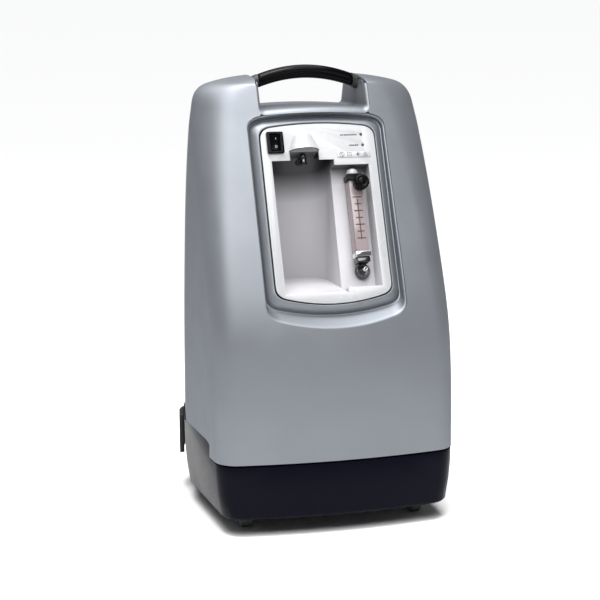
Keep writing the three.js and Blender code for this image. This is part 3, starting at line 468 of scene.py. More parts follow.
def pocket_point(index, part, grow=0.0):
    p = POCKET_RAILS[grow][0][index].lerp(POCKET_RAILS[grow][1][index], part)
    return PANEL_MATRIX @ Vector((p.x, p.y, WALL_RISE * part - POCKET_DEPTH))


POCKET_RAILS = {
    grow: (pocket_outline(0, grow), pocket_outline(1, grow)) for grow in (0.0, POCKET_EDGE)
}


def outside_front(p):
    """True if a point is in front of the cabinet's face."""
    return p.y < front_surface(max(-FRONT_HALF, min(FRONT_HALF, p.x)), p.z)


def pocket_brim(index, grow=0.0):
    """How far up the pocket's wall, as a part of its rise, it meets the cabinet's face."""
    low, high = 0.0, 1.0
    for _ in range(24):
        middle = (low + high) / 2
        if outside_front(pocket_point(index, middle, grow)):
            high = middle
        else:
            low = middle
    return low


BRIM = [pocket_brim(i, POCKET_EDGE) for i in range(len(POCKET_RAILS[POCKET_EDGE][0]))]
BRIM_POINTS = [pocket_point(i, part, POCKET_EDGE) for i, part in enumerate(BRIM)]
BRIM_FLAT = [Vector((p.x, p.z)) for p in BRIM_POINTS]


def polygon_distance(x, y, outline):
    """Distance of a point from a closed outline, below zero inside it."""
    inside = False
    nearest = 1e9
    for a, b in zip(outline, [*outline[1:], outline[0]]):
        if (a.y > y) != (b.y > y) and x < a.x + (y - a.y) / (b.y - a.y) * (b.x - a.x):
            inside = not inside
        edge = b - a
        t = max(0, min(1, ((x - a.x) * edge.x + (y - a.y) * edge.y) / edge.length_squared))
        nearest = min(nearest, (x - a.x - t * edge.x) ** 2 + (y - a.y - t * edge.y) ** 2)
    nearest = math.sqrt(nearest)
    return -nearest if inside else nearest


def pocket_mouth(p):
    if abs(p.x) > 140 or not 300 < p.z < 640:
        return FAR
    return polygon_distance(p.x, p.z, BRIM_FLAT)


# ---------- front shell ----------


def front_skin():
    seam = SEAM_Y - SEAM_GAP / 2
    rows = [front_arc(z, w, roll, seam) for z, w, roll in silhouette(SHELL_FOOT_Z, 4)]

    def below_step(p):
        if p.z < SHELL_STEP_Z and p.y > STEP_Y:
            return -max(SHELL_STEP_Z - p.z, p.y - STEP_Y)
        return 1.0

    return sheet("front_skin", rows, (front_opening, pocket_mouth, below_step))


def pocket_wall():
    """The pocket's wall from its soft brim down to its foot."""
    count = len(BRIM)
    rows = []
    parts = [pocket_brim(i) for i in range(count)]
    edge = [pocket_point(i, part) for i, part in enumerate(parts)]
    lower = []
    for i, part in enumerate(parts):
        kept = 1 - POCKET_EDGE / max(WALL_RISE * part, POCKET_EDGE + 1)
        lower.append(pocket_point(i, part * max(0.0, kept)))
    for step in range(5):
        t = step / 4
        rows.append([
            BRIM_POINTS[i].lerp(edge[i], t).lerp(edge[i].lerp(lower[i], t), t) for i in range(count)
        ])
    foot = [pocket_point(i, 0.0) for i in range(count)]
    for step in range(1, 7):
        rows.append([lower[i].lerp(foot[i], step / 6) for i in range(count)])
    return sheet("pocket_wall", [[*row, row[0]] for row in rows])


def surround():
    """The ring of the shell that slopes up from the pocket's foot to the panel."""
    profile = [
        (SURROUND_WIDTH + 1.0, -POCKET_DEPTH + 0.2),
        (SURROUND_WIDTH - 1.4, -POCKET_DEPTH - 0.6),
        (SURROUND_WIDTH - 3.0, -8.6),
        (11.5, -6.4),
        (9.0, -4.2),
        (6.7, -2.4),
        (4.6, -1.0),
        (3.2, -0.4),
        (2.3, -0.6),
        (1.7, -1.6),
        (1.5, -3.4),
        (1.5, -9.0),
    ]
    rows = []
    for grow, height in profile:
        ring = [PANEL_MATRIX @ Vector((p.x, p.y, height)) for p in panel_outline(grow)]
        rows.append([*ring, ring[0]])
    return sheet("surround", rows)


def opening_rows(surface_y, sign, seam):
    """Rows of points of the hand opening's wall, from its mouth in the cabinet's face to the seam."""
    columns = 10
    rows = []
    turns = [math.pi / 2 * i / 8 for i in range(9)]
    depths = [OPENING_LIP * (1 - math.cos(t)) for t in turns]
    for step in [*range(9), *range(1, 7)]:
        flared = len(rows) < 9
        flare = OPENING_LIP * (1 - math.sin(turns[step])) if flared else 0.0
        depth = depths[step] if flared else OPENING_LIP
        half = OPENING_HALF_WIDTH + flare * 0.5
        radius = OPENING_RADIUS + flare * 0.5
        floor = OPENING_FLOOR_Z - flare
        top = crest_height(depth)
        bend = [
            Vector((half - radius + radius * math.cos(a), floor + radius - radius * math.sin(a)))
            for a in [math.pi / 2 * i / 8 for i in range(9)]
        ]
        bend = [Vector((p.x, p.y + OPENING_ARCH * max(0.0, 1 - (abs(p.x) / half) ** 2))) for p in bend]
        wall = straight(Vector((half, top)), bend[0], columns)[:-1]
        run = []
        for i in range(1, 15):
            x = (half - radius) * (1 - i / 14)
            run.append(Vector((x, floor + OPENING_ARCH * (1 - (x / half) ** 2))))
        right = [*wall, *bend, *run]
        outline = [*right, *mirrored(right)[1:]]
        ring = []
        for p in outline:
            y = surface_y(p.x, p.y) + sign * depth
            if not flared:
                y += (seam - y) * step / 6
            ring.append(Vector((p.x, y, p.y)))
        rows.append(ring)
    return rows


def crest_height(depth):
    """Height of the crest above the hand opening's wall at a depth behind the face."""
    for (z0, w0, r0), (z1, w1, r1) in zip(PROFILE, PROFILE[1:]):
        if r0 < depth <= r1 and r1 > r0:
            return min(z0 + (z1 - z0) * (depth - r0) / (r1 - r0), CREST_TOP_Z)
    return CREST_FOOT_Z if depth <= 0 else CREST_TOP_Z


def flat_front(x, z):
    """The front's face without the crest's roll."""
    return front_surface(x, z) - profile_at(z)[1]


def flat_rear(x, z):
    return rear_at(z)


def front_shell():
    seam = SEAM_Y - SEAM_GAP / 2
    skin = thickened(tidy(front_skin()), SHELL_WALL)
    wall = thickened(tidy(pocket_wall()), INNER_WALL)
    ring = thickened(tidy(surround()), INNER_WALL)
    tunnel = thickened(tidy(sheet("tunnel", opening_rows(flat_front, 1, seam))), INNER_WALL)
    return smooth(joined("front_shell_skin", [skin, wall, ring, tunnel]))


def rear_shell():
    seam = SEAM_Y + SEAM_GAP / 2
    rows = [rear_arc(z, w, roll, seam) for z, w, roll in silhouette(SHELL_STEP_Z, 5)]
    windows = [
        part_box(node) for node in ("cabinet_filter", "hour_meter", "circuit_breaker", "power_inlet")]

    def rear_windows(p):
        if p.y < 150:
            return FAR
        gaps = []
        for low, high in windows:
            middle = (low + high) / 2 * 1000
            half = (high - low) / 2 * 1000 - Vector((3, 0, 3))
            gaps.append(max(abs(p.x - middle.x) - half.x, abs(p.z - middle.z) - half.z))
        return min(gaps)

    skin = thickened(tidy(sheet("rear_skin", rows, (rear_opening, rear_windows))), SHELL_WALL)
    tunnel = thickened(
        tidy(sheet("rear_tunnel", opening_rows(flat_rear, -1, seam))), INNER_WALL)
    return smooth(joined("rear_shell_skin", [skin, tunnel]))


# ---------- finishes ----------


FINISHES = {}


class Finish:
    """A procedural material with colour variation, wear and relief, all from object coordinates."""

    def __init__(
        self, name, colour, roughness, metallic=0.0, coat=0.0, coat_roughness=0.1, specular=0.5
    ):
        self.material = bpy.data.materials.new(name + "_finish")
        FINISHES[name] = self.material
        self.material.use_nodes = True
        self.tree = self.material.node_tree
        self.shader = self.tree.nodes["Principled BSDF"]
        self.shader.inputs["Metallic"].default_value = metallic
        self.shader.inputs["Coat Weight"].default_value = coat
        self.shader.inputs["Coat Roughness"].default_value = coat_roughness
        self.shader.inputs["Specular IOR Level"].default_value = specular
        self.colour = colour
        self.roughness = roughness
        self.painted_shade = None
        self.place = self.tree.nodes.new("ShaderNodeTexCoord").outputs["Object"]

    def node(self, kind, **values):
        made = self.tree.nodes.new(kind)
        for key, value in values.items():
            if hasattr(made, key):
                setattr(made, key, value)
            else:
                made.inputs[key.replace("_", " ")].default_value = value
        return made

    def noise(self, scale, detail=4.0, rough=0.55, stretch=None):
        made = self.node("ShaderNodeTexNoise", Scale=scale, Detail=detail, Roughness=rough)
        source = self.place
        if stretch:
            mapping = self.node("ShaderNodeMapping")
            mapping.inputs["Scale"].default_value = stretch
            self.tree.links.new(self.place, mapping.inputs["Vector"])
            source = mapping.outputs["Vector"]
        self.tree.links.new(source, made.inputs["Vector"])
        return made.outputs["Fac"]

    def ranged(self, value, low, high, new_low, new_high):
        made = self.node("ShaderNodeMapRange")
        ends = {"From Min": low, "From Max": high, "To Min": new_low, "To Max": new_high}
        for key, number in ends.items():
            made.inputs[key].default_value = number
        self.tree.links.new(value, made.inputs["Value"])
        return made.outputs["Result"]

    def mixed(self, factor, a, b):
        made = self.tree.nodes.new("ShaderNodeMix")
        made.data_type = "RGBA"
        self.tree.links.new(factor, made.inputs[0])
        for socket, value in ((made.inputs[6], a), (made.inputs[7], b)):
            if isinstance(value, tuple):
                socket.default_value = (*value, 1.0)
            else:
                self.tree.links.new(value, socket)
        return made.outputs[2]

    def shade(self, factor):
        return tuple(channel * factor for channel in self.colour)

    def build(self, blotch=6.0, variation=0.08, grain=900.0, relief=0.02, relief_scale=500.0, wear=0.1):
        links = self.tree.links
        broad = self.ranged(self.noise(blotch), 0.3, 0.7, 0.0, 1.0)
        base = self.mixed(broad, self.shade(1 - variation), self.shade(1 + variation))
        fine = self.ranged(self.noise(grain, 2.0), 0.35, 0.65, 0.0, 1.0)
        base = self.mixed(self.ranged(fine, 0.0, 1.0, 0.0, 0.35), base, self.shade(1 + 2 * variation))
        marks = self.ranged(self.noise(24.0, 8.0, 0.7, (1.0, 1.0, 5.0)), 0.62, 0.72, 0.0, wear)
        base = self.mixed(marks, base, self.shade(0.72))
        # A painted shade, where one is given, darkens the colour where shadow falls.
        if self.painted_shade:
            base = self.painted_shade(base)
        links.new(base, self.shader.inputs["Base Color"])
        smudge = self.ranged(self.noise(14.0, 6.0), 0.3, 0.7, -0.04, 0.06)
        total = self.node("ShaderNodeMath", operation="ADD")
        links.new(smudge, total.inputs[0])
        total.inputs[1].default_value = self.roughness
        links.new(total.outputs[0], self.shader.inputs["Roughness"])
        bump = self.node("ShaderNodeBump", Strength=relief, Distance=0.001)
        links.new(self.noise(relief_scale, 3.0), bump.inputs["Height"])
        links.new(bump.outputs["Normal"], self.shader.inputs["Normal"])
        return self.material


silver = Finish("silver_paint", (0.185, 0.197, 0.215), 0.45, metallic=0.6, specular=0.25)
silver.shader.inputs["Specular Tint"].default_value = (0.3, 0.32, 0.34, 1.0)
silver.build(variation=0.03, grain=1400.0, relief=0.05, relief_scale=1100.0, wear=0.06)
Finish("navy_plastic", (0.002, 0.0022, 0.006), 0.3, specular=0.05).build(
    variation=0.15, relief=0.12, relief_scale=700.0, wear=0.3)
Finish("black_plastic", (0.0015, 0.0015, 0.002), 0.14, specular=0.07).build(
    variation=0.2, relief=0.04, wear=0.2)
Finish("black_rubber", (0.012, 0.012, 0.012), 0.6).build(variation=0.2, relief=0.15, wear=0.3)
Finish("wheel_rubber", (0.03, 0.03, 0.032), 0.65).build(variation=0.25, relief=0.2, wear=0.5)
Finish("zinc_steel", (0.55, 0.55, 0.53), 0.34, metallic=1.0).build(
    variation=0.1, relief=0.05, wear=0.3)
Finish("cast_aluminium", (0.42, 0.42, 0.42), 0.5, metallic=0.9).build(
    variation=0.12, relief=0.3, relief_scale=300.0)
Finish("aluminium_tube", (0.6, 0.6, 0.6), 0.36, metallic=1.0).build(variation=0.08, relief=0.08)
Finish("white_plastic", (0.35, 0.355, 0.364), 0.28, coat=0.2, coat_roughness=0.15).build(
    variation=0.012, relief=0.05, relief_scale=600.0, wear=0.012)
Finish("lamp_lens", (0.01, 0.012, 0.01), 0.12, coat=0.5).build(variation=0.2, relief=0.01)
Finish("smoked_chrome", (0.1, 0.1, 0.105), 0.2, metallic=1.0).build(variation=0.1, relief=0.03)
Finish("bright_chrome", (0.75, 0.75, 0.76), 0.12, metallic=1.0).build(variation=0.05, relief=0.02)
Finish("green_board", (0.01, 0.12, 0.05), 0.4).build(variation=0.2, relief=0.1)
Finish("grey_foam", (0.09, 0.09, 0.095), 0.9).build(
    variation=0.3, relief=0.8, relief_scale=350.0)
Finish("copper_tube", (0.6, 0.27, 0.15), 0.3, metallic=1.0).build(
    variation=0.15, relief=0.05, wear=0.4)
Finish("grey_plastic", (0.3, 0.3, 0.31), 0.4).build(variation=0.06, relief=0.1)

acrylic = Finish("clear_acrylic", (0.31, 0.26, 0.265), 0.1)
acrylic.shader.inputs["Transmission Weight"].default_value = 0.25
acrylic.shader.inputs["IOR"].default_value = 1.49
acrylic.build(variation=0.01, relief=0.01, wear=0.02)

# A dark finish that paints shade on faces that look down, inside the bay and under the hood.
Finish("bay_shade", (0.05, 0.05, 0.054), 0.4).build(variation=0.04, relief=0.08, relief_scale=600.0)
bay = Finish("bay_plastic", (0.43, 0.422, 0.44), 0.36)


# The painted shadow in the bay's upper part: the slope of its slanting edge and a point on that edge,
# in metres.
SHADOW_SLOPE = 0.62
SHADOW_Y, SHADOW_Z = 0.064, 0.5585


def painted_bay_shadow(base):
    """Paints a shadow on the bay's deep upper part, darkening it softly above a slanting plane."""
    split = bay.node("ShaderNodeSeparateXYZ")
    bay.tree.links.new(bay.place, split.inputs[0])
    drop = bay.node("ShaderNodeMath", operation="MULTIPLY_ADD")
    bay.tree.links.new(split.outputs["Y"], drop.inputs[0])
    drop.inputs[1].default_value = SHADOW_SLOPE
    drop.inputs[2].default_value = SHADOW_Y * SHADOW_SLOPE - SHADOW_Z
    total = bay.node("ShaderNodeMath", operation="ADD")
    bay.tree.links.new(drop.outputs[0], total.inputs[0])
    bay.tree.links.new(split.outputs["Z"], total.inputs[1])
    dark = bay.ranged(total.outputs[0], -0.034, 0.012, 0.0, 1.0)
    return bay.mixed(dark, base, (0.012, 0.011, 0.015))


# The bay's plastic gets a painted shadow over its deep upper part.
bay.painted_shade = painted_bay_shadow
bay.build(variation=0.02, relief=0.08, relief_scale=600.0, wear=0.02)
Finish("mark_grey", (0.045, 0.045, 0.05), 0.5).build(variation=0.1)
Finish("mark_red", (0.05, 0.02, 0.018), 0.5).build(variation=0.1)
Finish("mark_white", (0.22, 0.22, 0.22), 0.5).build(variation=0.05)

SLOT_OF = {part["node"]: part["material_slot"] for part in frame["record"]["subparts"]}


def dress(obj, slot):
    obj.data.materials.clear()
    obj.data.materials.append(FINISHES[slot])
    return obj


for node, obj in frame["nodes"].items():
    dress(obj, SLOT_OF[node])
    smooth(obj, 30)

# ---------- more shapes ----------


def prism(name, outline, low, high, place=None):
    """An outline in X and Y raised between two heights, then put in place."""
    rings = [[Vector((p.x, p.y, z)) for p in outline] for z in (low, high)]
    made = loft(name, rings)
    return tidy(placed(made, place), 1e-7) if place is not None else made


def rectangle(left, low, right, high):
    return [Vector(p) for p in ((left, low), (right, low), (right, high), (left, high))]


def circle(x, y, radius, sides):
    turns = [2 * math.pi * k / sides for k in range(sides)]
    return [Vector((x + radius * math.cos(t), y + radius * math.sin(t))) for t in turns]


def lathe(name, profile, place, sides=48, rim=None):
    """Turns (radius, height) points about Z. rim(turn) scales the radius round the edge."""
    rings = []
    for radius, height in profile:
        ring = []
        for k in range(sides):
            turn = 2 * math.pi * k / sides
            reach = radius * (rim(turn) if rim else 1.0)
            ring.append(Vector((reach * math.cos(turn), reach * math.sin(turn), height)))
        rings.append(ring)
    return tidy(placed(loft(name, rings), place), 1e-7)


def on_panel(x, s, n=0.0):
    return PANEL_MATRIX @ Matrix.Translation((x, s, n))


# ---------- control panel ----------

BAY_LEFT, BAY_RIGHT = -77, 22
BAY_BACK_Y = 2
BAY_FLOOR_Z = 364
BAY_ROOF_Z = 558.53
PANEL_SKIN = 2.5
METER_LEFT, METER_RIGHT = 21, 77
HOOD_X = -24.5
SWITCH = (-69, 237.5, 26, 34)
ELBOW_S = 216.5
OUTLET = (57, 37)
LAMPS = ((70, 248), (71, 231))


def bay_plan(grow):
    radius = (BAY_RIGHT - BAY_LEFT) / 2 + grow
    middle = (BAY_LEFT + BAY_RIGHT) / 2
    back = BAY_BACK_Y + grow
    side = middle + radius
    turn = [(side, BAY_BACK_Y - 34), (side, back - 8), (middle + 20, back), (middle, back)]
    right = [Vector((side, -260)), *bezier(turn, 20)]
    left = [Vector((2 * middle - p.x, p.y)) for p in reversed(right[:-1])]
    return [*right, *left]


def humidifier_bay(grow):
    return prism("bay", bay_plan(grow), BAY_FLOOR_Z - grow, BAY_ROOF_Z + grow)


SIDEWAYS = Matrix(((0, 0, 1, 0), (1, 0, 0, 0), (0, 1, 0, 0), (0, 0, 0, 1)))


def meter_bay(grow):
    outline = [Vector(p) for p in (
        (7 - grow, 20), (7 - grow, -36 - grow), (200 + grow, -26 - grow), (200 + grow, 20))]
    return prism("meter", outline, METER_LEFT - grow, METER_RIGHT + grow, PANEL_MATRIX @ SIDEWAYS)


def notch(grow):
    outline = rectangle(HOOD_X - 23 - grow, 205, HOOD_X + 23 + grow, 222.5 + grow)
    return prism("notch", outline, -34 - grow, 0 if grow else 5, PANEL_MATRIX)


def hole(x, s, radius, low=-60, high=5):
    return prism("hole", circle(x, s, radius, 32), low, high, PANEL_MATRIX)


def control_panel():
    made = prism("panel_moulding", panel_outline(0, 0, 6), -3, 0, PANEL_MATRIX)
    front = prism("front", panel_outline(20, 0, 4), -200, -0.4, PANEL_MATRIX)
    walls = humidifier_bay(PANEL_SKIN)
    cut_with(walls, meter_bay(PANEL_SKIN), "UNION")
    cut_with(walls, notch(PANEL_SKIN), "UNION")
    cut_with(walls, front, "INTERSECT")
    cut_with(made, walls, "UNION")
    for tool in (humidifier_bay(0), meter_bay(0), notch(0)):
        cut_with(made, tool)
    x, s, width, height = SWITCH
    reach, rise = width / 2 - 2, height / 2 - 2
    cut_with(made, prism(
        "hole", rectangle(x - reach, s - rise, x + reach, s + rise), -10, 5, PANEL_MATRIX))
    for place in ((HOOD_X, ELBOW_S), OUTLET):
        cut_with(made, hole(*place, 5.3, -60, -20))
    for lamp in LAMPS:
        cut_with(made, hole(*lamp, 2.3))
    tidy(made, 2e-5)
    return bevelled(flattened(made, 1.0), 1.3, 3, 35)


def paint_inside(obj, inner_slot):
    """Gives the faces behind the panel's front their own finish, and paints shade with a dark finish on
    those that face down.
    """
    obj.data.materials.append(FINISHES[inner_slot])
    obj.data.materials.append(FINISHES["bay_shade"])
    for polygon in obj.data.polygons:
        local = PANEL_INVERSE @ (polygon.center / MM)
        if local.z < -2.2:
            # Faces that look down get the painted shade.
            polygon.material_index = 2 if polygon.normal.z < -0.5 else 1


def shade_below(obj):
    """Paints shade on an object's downward faces with the dark finish."""
    obj.data.materials.append(FINISHES["bay_shade"])
    for polygon in obj.data.polygons:
        if polygon.normal.z < -0.5:
            polygon.material_index = 1


def hood():
    """Half a hollow cone on the panel's face."""
    steps, sides = 16, 40
    low, high, foot, top = 223.5, 252, 24, 12
    lift = 0.3
    rows = []
    for i in range(steps + 1):
        part = i / steps
        shrink = 7.0 * max(0.0, (part - 0.75) / 0.25) ** 3
        radius = foot + (top - foot) * part - shrink
        s = low + (high - low) * part
        rows.append([
            PANEL_MATRIX @ Vector((
                HOOD_X + radius * math.cos(math.pi * k / sides), s,
                lift + radius * 0.85 * math.sin(math.pi * k / sides)))
            for k in range(sides + 1)
        ])
    centre = PANEL_MATRIX @ Vector((HOOD_X, high, lift))
    rows.append([centre for _ in range(sides + 1)])
    return smooth(thickened(tidy(sheet("hood_skin", rows)), 2.2), 50)


def knob():
    def flutes(turn):
        return 1 - 0.045 * max(0.0, math.cos(14 * turn)) ** 2

    profile = [
        (3.3, 27.2), (11.0, 27.0), (12.0, 27.8), (12.0, 38.5), (11.4, 40.4), (9.6, 41.6), (8.2, 41.9),
        (7.4, 41.4), (6.6, 40.6), (5.6, 40.6), (4.8, 41.4), (3.4, 41.9), (1.6, 42.0), (0.2, 42.0),
    ]
    fluted = lathe("knob_turned", profile, on_panel(58, 168, -23.5), 112, flutes)
    return smooth(fluted, 50)


# ---------- marks on the panel ----------


def flat_marks(name, shapes, place, low, high):
    """Thin raised marks, each an outline or an (outer, inner) pair, as one piece."""
    made = []
    for shape in shapes:
        if isinstance(shape, tuple):
            outer, inner = shape
            count = len(outer)
            points = [Vector((*p, z)) for z in (low, high) for ring in (outer, inner) for p in ring]
            faces = []
            for k in range(count):
                n = (k + 1) % count
                o0, o1, i0, i1 = k, n, count + k, count + n
                top = 2 * count
                faces += [
                    (o0, i0, i1, o1), (top + o0, top + o1, top + i1, top + i0),
                    (o0, o1, top + o1, top + o0), (i0, top + i0, top + i1, i1),
                ]
            made.append(placed(tidy(mesh_object("mark", points, faces), 1e-7), place))
        else:
            made.append(prism("mark", shape, low, high, place))
    return joined(name, made)


def ring_shape(x, y, radius, line, sides=24):
    return circle(x, y, radius, sides), circle(x, y, radius - line, sides)


def frame_shape(points, line):
    centre = sum((Vector(p) for p in points), Vector((0, 0))) / len(points)
    outer = [Vector(p) for p in points]
    return outer, [p + (centre - p).normalized() * line for p in outer]


def bar(x, y, width, height):
    return rectangle(x - width / 2, y - height / 2, x + width / 2, y + height / 2)


def status_signs():
    y = 216
    slash = [Vector(p) for p in ((37.0, 212.4), (37.8, 212.9), (34.0, 219.8), (33.2, 219.3))]
    speaker = [Vector(p) for p in ((58.6, 216), (62.4, 212.2), (62.4, 219.8))]
    return [
        ring_shape(35.5, y, 4.0, 0.7), slash,
        frame_shape(((44, 213), (51, 213), (51, 219), (44, 219)), 0.9), bar(47.5, y, 3.4, 0.7),
        speaker, bar(64.2, y, 0.7, 4.4),
        frame_shape(((69.5, 212.4), (77.0, 212.4), (73.2, 219.6)), 1.2), bar(73.2, 215.0, 0.8, 2.2),
    ]


CAPTION_WIDTHS = (
    (2.6, 1.8, 0, 2.8, 2.0, 2.4, 1.6, 2.2, 2.4, 2.3),
    (2.4, 2.6, 1.9, 2.6, 2.2),
)


def caption_bars():
    """Grey bars beside each lamp. A width of 0 is a space."""
    made = []
    for row, (x, y) in enumerate(LAMPS):
        left = x - 6.5
        for width in reversed(CAPTION_WIDTHS[row]):
            left -= width + 0.7
            if width:
                made.append(bar(left + width / 2, y - 0.3, width, 2.2))
    return made


def panel_box(node):
    """A CAD node's box in the panel's frame, in millimetres."""
    obj = bpy.data.objects[node]
    points = [PANEL_INVERSE @ (obj.matrix_world @ v.co / MM) for v in obj.data.vertices]
    return [Vector([pick(p[axis] for p in points) for axis in range(3)]) for pick in (min, max)]


def meter_scale(low, high):
    """A centre line and six ticks on the flowmeter's face."""
    middle = (low.x + high.x) / 2
    length = high.y - low.y
    shapes = [bar(middle, low.y + 0.44 * length, 1.6, 0.56 * length)]
    for i in range(7):
        wide = 14.5 if i % 2 == 0 else 11.0
        shapes.append(bar(middle, low.y + (0.18 + 0.095 * i) * length, wide, 1.7))
    return shapes


# ---------- handle ----------

GRIP_Y = 27
GRIP_TOP_Z = 700
GRIP_HEIGHT, GRIP_DEPTH = 21, 25
GRIP_END_Z = 671.5
FERRULE = 9
END_GAP = 0.3
END_ROUND = 1.2
GRIP_POWER = 2.5


def grip_bar(name, start, end, swell, steps):
    """An arched bar along X with a shallow groove along its front and back."""
    rings = []
    sides = 48
    for i in range(steps + 1):
        x = start + (end - start) * i / steps
        arch = 1 - (x / OPENING_HALF_WIDTH) ** 2
        z = GRIP_END_Z + (GRIP_TOP_Z - GRIP_HEIGHT / 2 - GRIP_END_Z) * arch
        near_end = min(i, steps - i) / steps * abs(end - start)
        inward = 1 - min(near_end / END_ROUND, 1.0)
        shrink = END_ROUND * (1 - math.sqrt(1 - inward ** 2))
        ring = []
        for k in range(sides):
            turn = 2 * math.pi * k / sides
            c, d = math.cos(turn), math.sin(turn)
            reach = (abs(c) ** GRIP_POWER + abs(d) ** GRIP_POWER) ** (-1 / GRIP_POWER)
            groove = 1 - 0.12 * math.exp(-((d / 0.3) ** 2)) * min(1.0, near_end / 8)
            ring.append(Vector((
                x,
                GRIP_Y + (GRIP_DEPTH / 2 + swell - shrink) * c * reach * groove,
                z + (GRIP_HEIGHT / 2 + swell - shrink) * d * reach,
            )))
        rings.append(ring)
    return smooth(loft(name, rings), 50)


def add_detail(made, slot, body):
    dress(made, slot)
    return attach(made, body)


def replace_node(made, slot, body, *nodes):
    dress(made, slot)
    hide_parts(*nodes)
    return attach(made, body)


replace_node(front_shell(), "silver_paint", "cabinet", "front_shell")
replace_node(rear_shell(), "silver_paint", "cabinet", "rear_shell")
panel = control_panel()
replace_node(smooth(panel, 30), "white_plastic", "cabinet", "control_panel")
paint_inside(panel, "bay_plastic")
shade_below(replace_node(hood(), "white_plastic", "cabinet", "humidifier_hood"))
replace_node(knob(), "black_plastic", "flow_control", "flow_knob")

ferrule_end = OPENING_HALF_WIDTH - END_GAP
ferrule_start = ferrule_end - FERRULE
grip_half = ferrule_start - END_GAP
grip = grip_bar("grip_moulding", -grip_half, grip_half, 0, 72)
replace_node(grip, "black_plastic", "cabinet", "handle_grip")
for side, name in ((-1, "left"), (1, "right")):
    start, end = sorted((side * ferrule_start, side * ferrule_end))
    ferrule = grip_bar("ferrule_moulding_" + name, start, end, 0.8, 12)
    replace_node(ferrule, "black_rubber", "cabinet", "handle_ferrule_" + name)

captions = flat_marks("panel_captions", caption_bars(), PANEL_MATRIX, 0.02, 0.2)
add_detail(captions, "mark_grey", "cabinet")
signs = flat_marks("status_signs", status_signs(), PANEL_MATRIX, 0.92, 1.05)
add_detail(signs, "mark_grey", "cabinet")
meter_low, meter_high = panel_box("flowmeter_block")
ticks = meter_scale(meter_low, meter_high)
add_detail(
    flat_marks("flow_scale", ticks, PANEL_MATRIX, meter_high.z + 0.05, meter_high.z + 0.25),
    "mark_red", "cabinet")

CORNERS = ("front_left", "front_right", "rear_left", "rear_right")
# Bevel width in millimetres, and the least angle in degrees of an edge that is rounded.
REFINED = {
    "base_tray": (0.7, 40), "rear_bumper_left": (1.0, 30), "rear_bumper_right": (1.0, 30),
    "filter_grille": (0.5, 30), "circuit_breaker": (0.5, 30), "breaker_button": (0.3, 40),
    "hour_meter": (0.5, 30), "power_inlet": (0.5, 30), "power_switch_frame": (0.6, 30),
    "power_switch_rocker": (0.3, 40), "flow_valve_body": (0.5, 30), "flowmeter_block": (0.4, 30),
    "flowmeter_band": (0.6, 30), "flowmeter_foot": (0.6, 30), "flowmeter_cap": (0.3, 35),
    "outlet_collar": (0.4, 35), "oxygen_outlet": (0.3, 35), "humidifier_elbow": (0.2, 40),
    "status_label": (0.15, 30), "led_power": (0.1, 40), "led_alarm": (0.1, 40),
    **{"caster_fork_" + corner: (0.3, 35) for corner in CORNERS},
    **{"caster_wheel_" + corner: (0.5, 35) for corner in CORNERS},
}
BODY_OF = {
    node: body
    for body, nodes in frame["record"]["behaviour"]["bodies"].items()
    for node in nodes
}


def refined(node, width, angle):
    """A moulded version of a CAD node: welded, its edges rounded over and its curves smooth."""
    source = bpy.data.objects[node]
    points = [source.matrix_world @ v.co / MM for v in source.data.vertices]
    faces = [tuple(polygon.vertices) for polygon in source.data.polygons]
    made = mesh_object(node + "_moulding", points, faces)
    tidy(made, 1e-6)
    bevelled(flattened(made, 0.5), width, 2, angle)
    return replace_node(smooth(made, 40), SLOT_OF[node], BODY_OF[node], node)


for node, (width, angle) in REFINED.items():
    refined(node, width, angle)

ROCKER_TIP = math.radians(9)
ROCKER_RISE, ROCKER_REACH = 3.0, 11.5
ROCKER_LEAN = math.atan2(ROCKER_RISE, ROCKER_REACH)
MARK_REACH = 6.2
MARK_HEIGHT = 5.2 + MARK_REACH * ROCKER_RISE / ROCKER_REACH
ROCKER_PLACE = (
    on_panel(0, SWITCH[1]) @ Matrix.Rotation(ROCKER_TIP, 4, "X")
    @ Matrix.Translation((0, -SWITCH[1], 0))
)


def rocker_mark(name, shape, side):
    """A mark on the rocker's upper (side 1) or lower (side -1) face."""
    place = (
        ROCKER_PLACE @ Matrix.Translation((0, SWITCH[1] + side * MARK_REACH, MARK_HEIGHT))
        @ Matrix.Rotation(side * ROCKER_LEAN, 4, "X")
    )
    return add_detail(flat_marks(name, [shape], place, 0.05, 0.2), "mark_white", "power_rocker")


rocker_mark("mark_on", bar(SWITCH[0], 0, 0.9, 3.6), 1)
rocker_mark("mark_off", ring_shape(SWITCH[0], 0, 2.0, 0.8), -1)

# ---------- studio ----------


SKY = 0.15
FLOOR_REACH = 300000


def studio():
    """A plain pale floor under an even, dim sky."""
    ends = (-FLOOR_REACH, FLOOR_REACH)
    points = [Vector((x, y, 0)) for y in ends for x in ends]
    floor = mesh_object("floor", points, [(0, 1, 3, 2)])
    pale = bpy.data.materials.new("floor_pale")
    pale.use_nodes = True
    shader = pale.node_tree.nodes["Principled BSDF"]
    shader.inputs["Base Color"].default_value = (0.9, 0.9, 0.9, 1)
    shader.inputs["Roughness"].default_value = 0.9
    floor.data.materials.append(pale)
    world = bpy.data.worlds.new("studio")
    world.use_nodes = True
    background = world.node_tree.nodes["Background"]
    background.inputs["Color"].default_value = (0.95, 0.97, 1.0, 1)
    background.inputs["Strength"].default_value = SKY
    bpy.context.scene.world = world


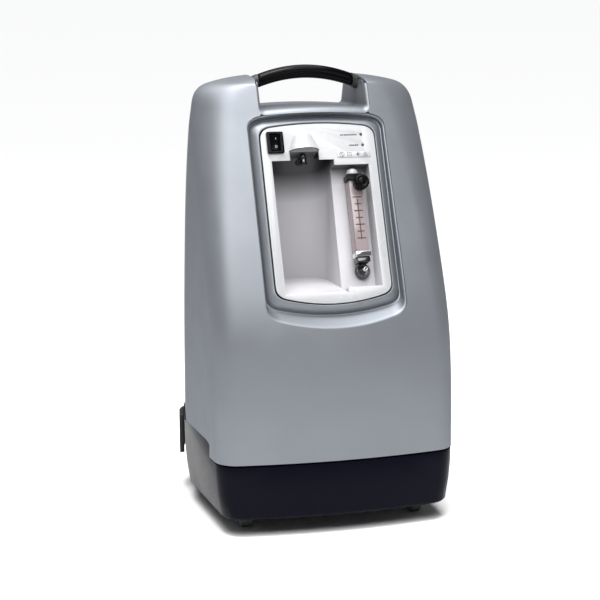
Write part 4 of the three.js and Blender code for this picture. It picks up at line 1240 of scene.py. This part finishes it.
def add_light(data, place, target):
    light = bpy.data.objects.new(data.name, data)
    bpy.context.scene.collection.objects.link(light)
    light.location = place
    light.rotation_euler = (Vector(target) - Vector(place)).to_track_quat("-Z", "Y").to_euler()


def area_light(name, place, target, size, power):
    data = bpy.data.lights.new(name, "AREA")
    data.shape = "RECTANGLE"
    data.size, data.size_y = size
    data.energy = power
    add_light(data, place, target)


def sun_light(name, place, strength, spread):
    data = bpy.data.lights.new(name, "SUN")
    data.energy = strength
    data.angle = math.radians(spread)
    add_light(data, place, (0, 0, 0))


studio()
sun_light("key", (-0.05, -0.1, 1.0), 3.1, 25)
area_light("front_softbox", (-0.3, -1.15, 1.66), (0, -0.08, 0.58), (1.9, 0.9), 29)
area_light("top_softbox", (-0.2, 0.1, 2.0), (-0.05, 0.1, 0.6), (2.2, 1.8), 42)

CAMERA_PLACE = Vector((-0.707035, -2.491391, 0.812525))
CAMERA_YAW = math.radians(15.512)
CAMERA_PITCH = math.radians(10.6)
CAMERA_ROLL = math.radians(-0.196)
camera_data = bpy.data.cameras.new("camera")
camera_data.lens = 98.85
camera_data.sensor_width = 36
camera_data.clip_end = 1000
camera = bpy.data.objects.new("camera", camera_data)
bpy.context.scene.collection.objects.link(camera)
aim = Vector((
    math.sin(CAMERA_YAW) * math.cos(CAMERA_PITCH),
    math.cos(CAMERA_YAW) * math.cos(CAMERA_PITCH),
    -math.sin(CAMERA_PITCH),
))
across = Vector((math.cos(CAMERA_YAW), -math.sin(CAMERA_YAW), 0))
up = across.cross(aim)
side = across * math.cos(CAMERA_ROLL) + up * math.sin(CAMERA_ROLL)
head = up * math.cos(CAMERA_ROLL) - across * math.sin(CAMERA_ROLL)
camera.matrix_world = Matrix((
    (side.x, head.x, -aim.x, CAMERA_PLACE.x),
    (side.y, head.y, -aim.y, CAMERA_PLACE.y),
    (side.z, head.z, -aim.z, CAMERA_PLACE.z),
    (0, 0, 0, 1),
))
scene = bpy.context.scene
scene.camera = camera
scene.view_settings.view_transform = "Standard"
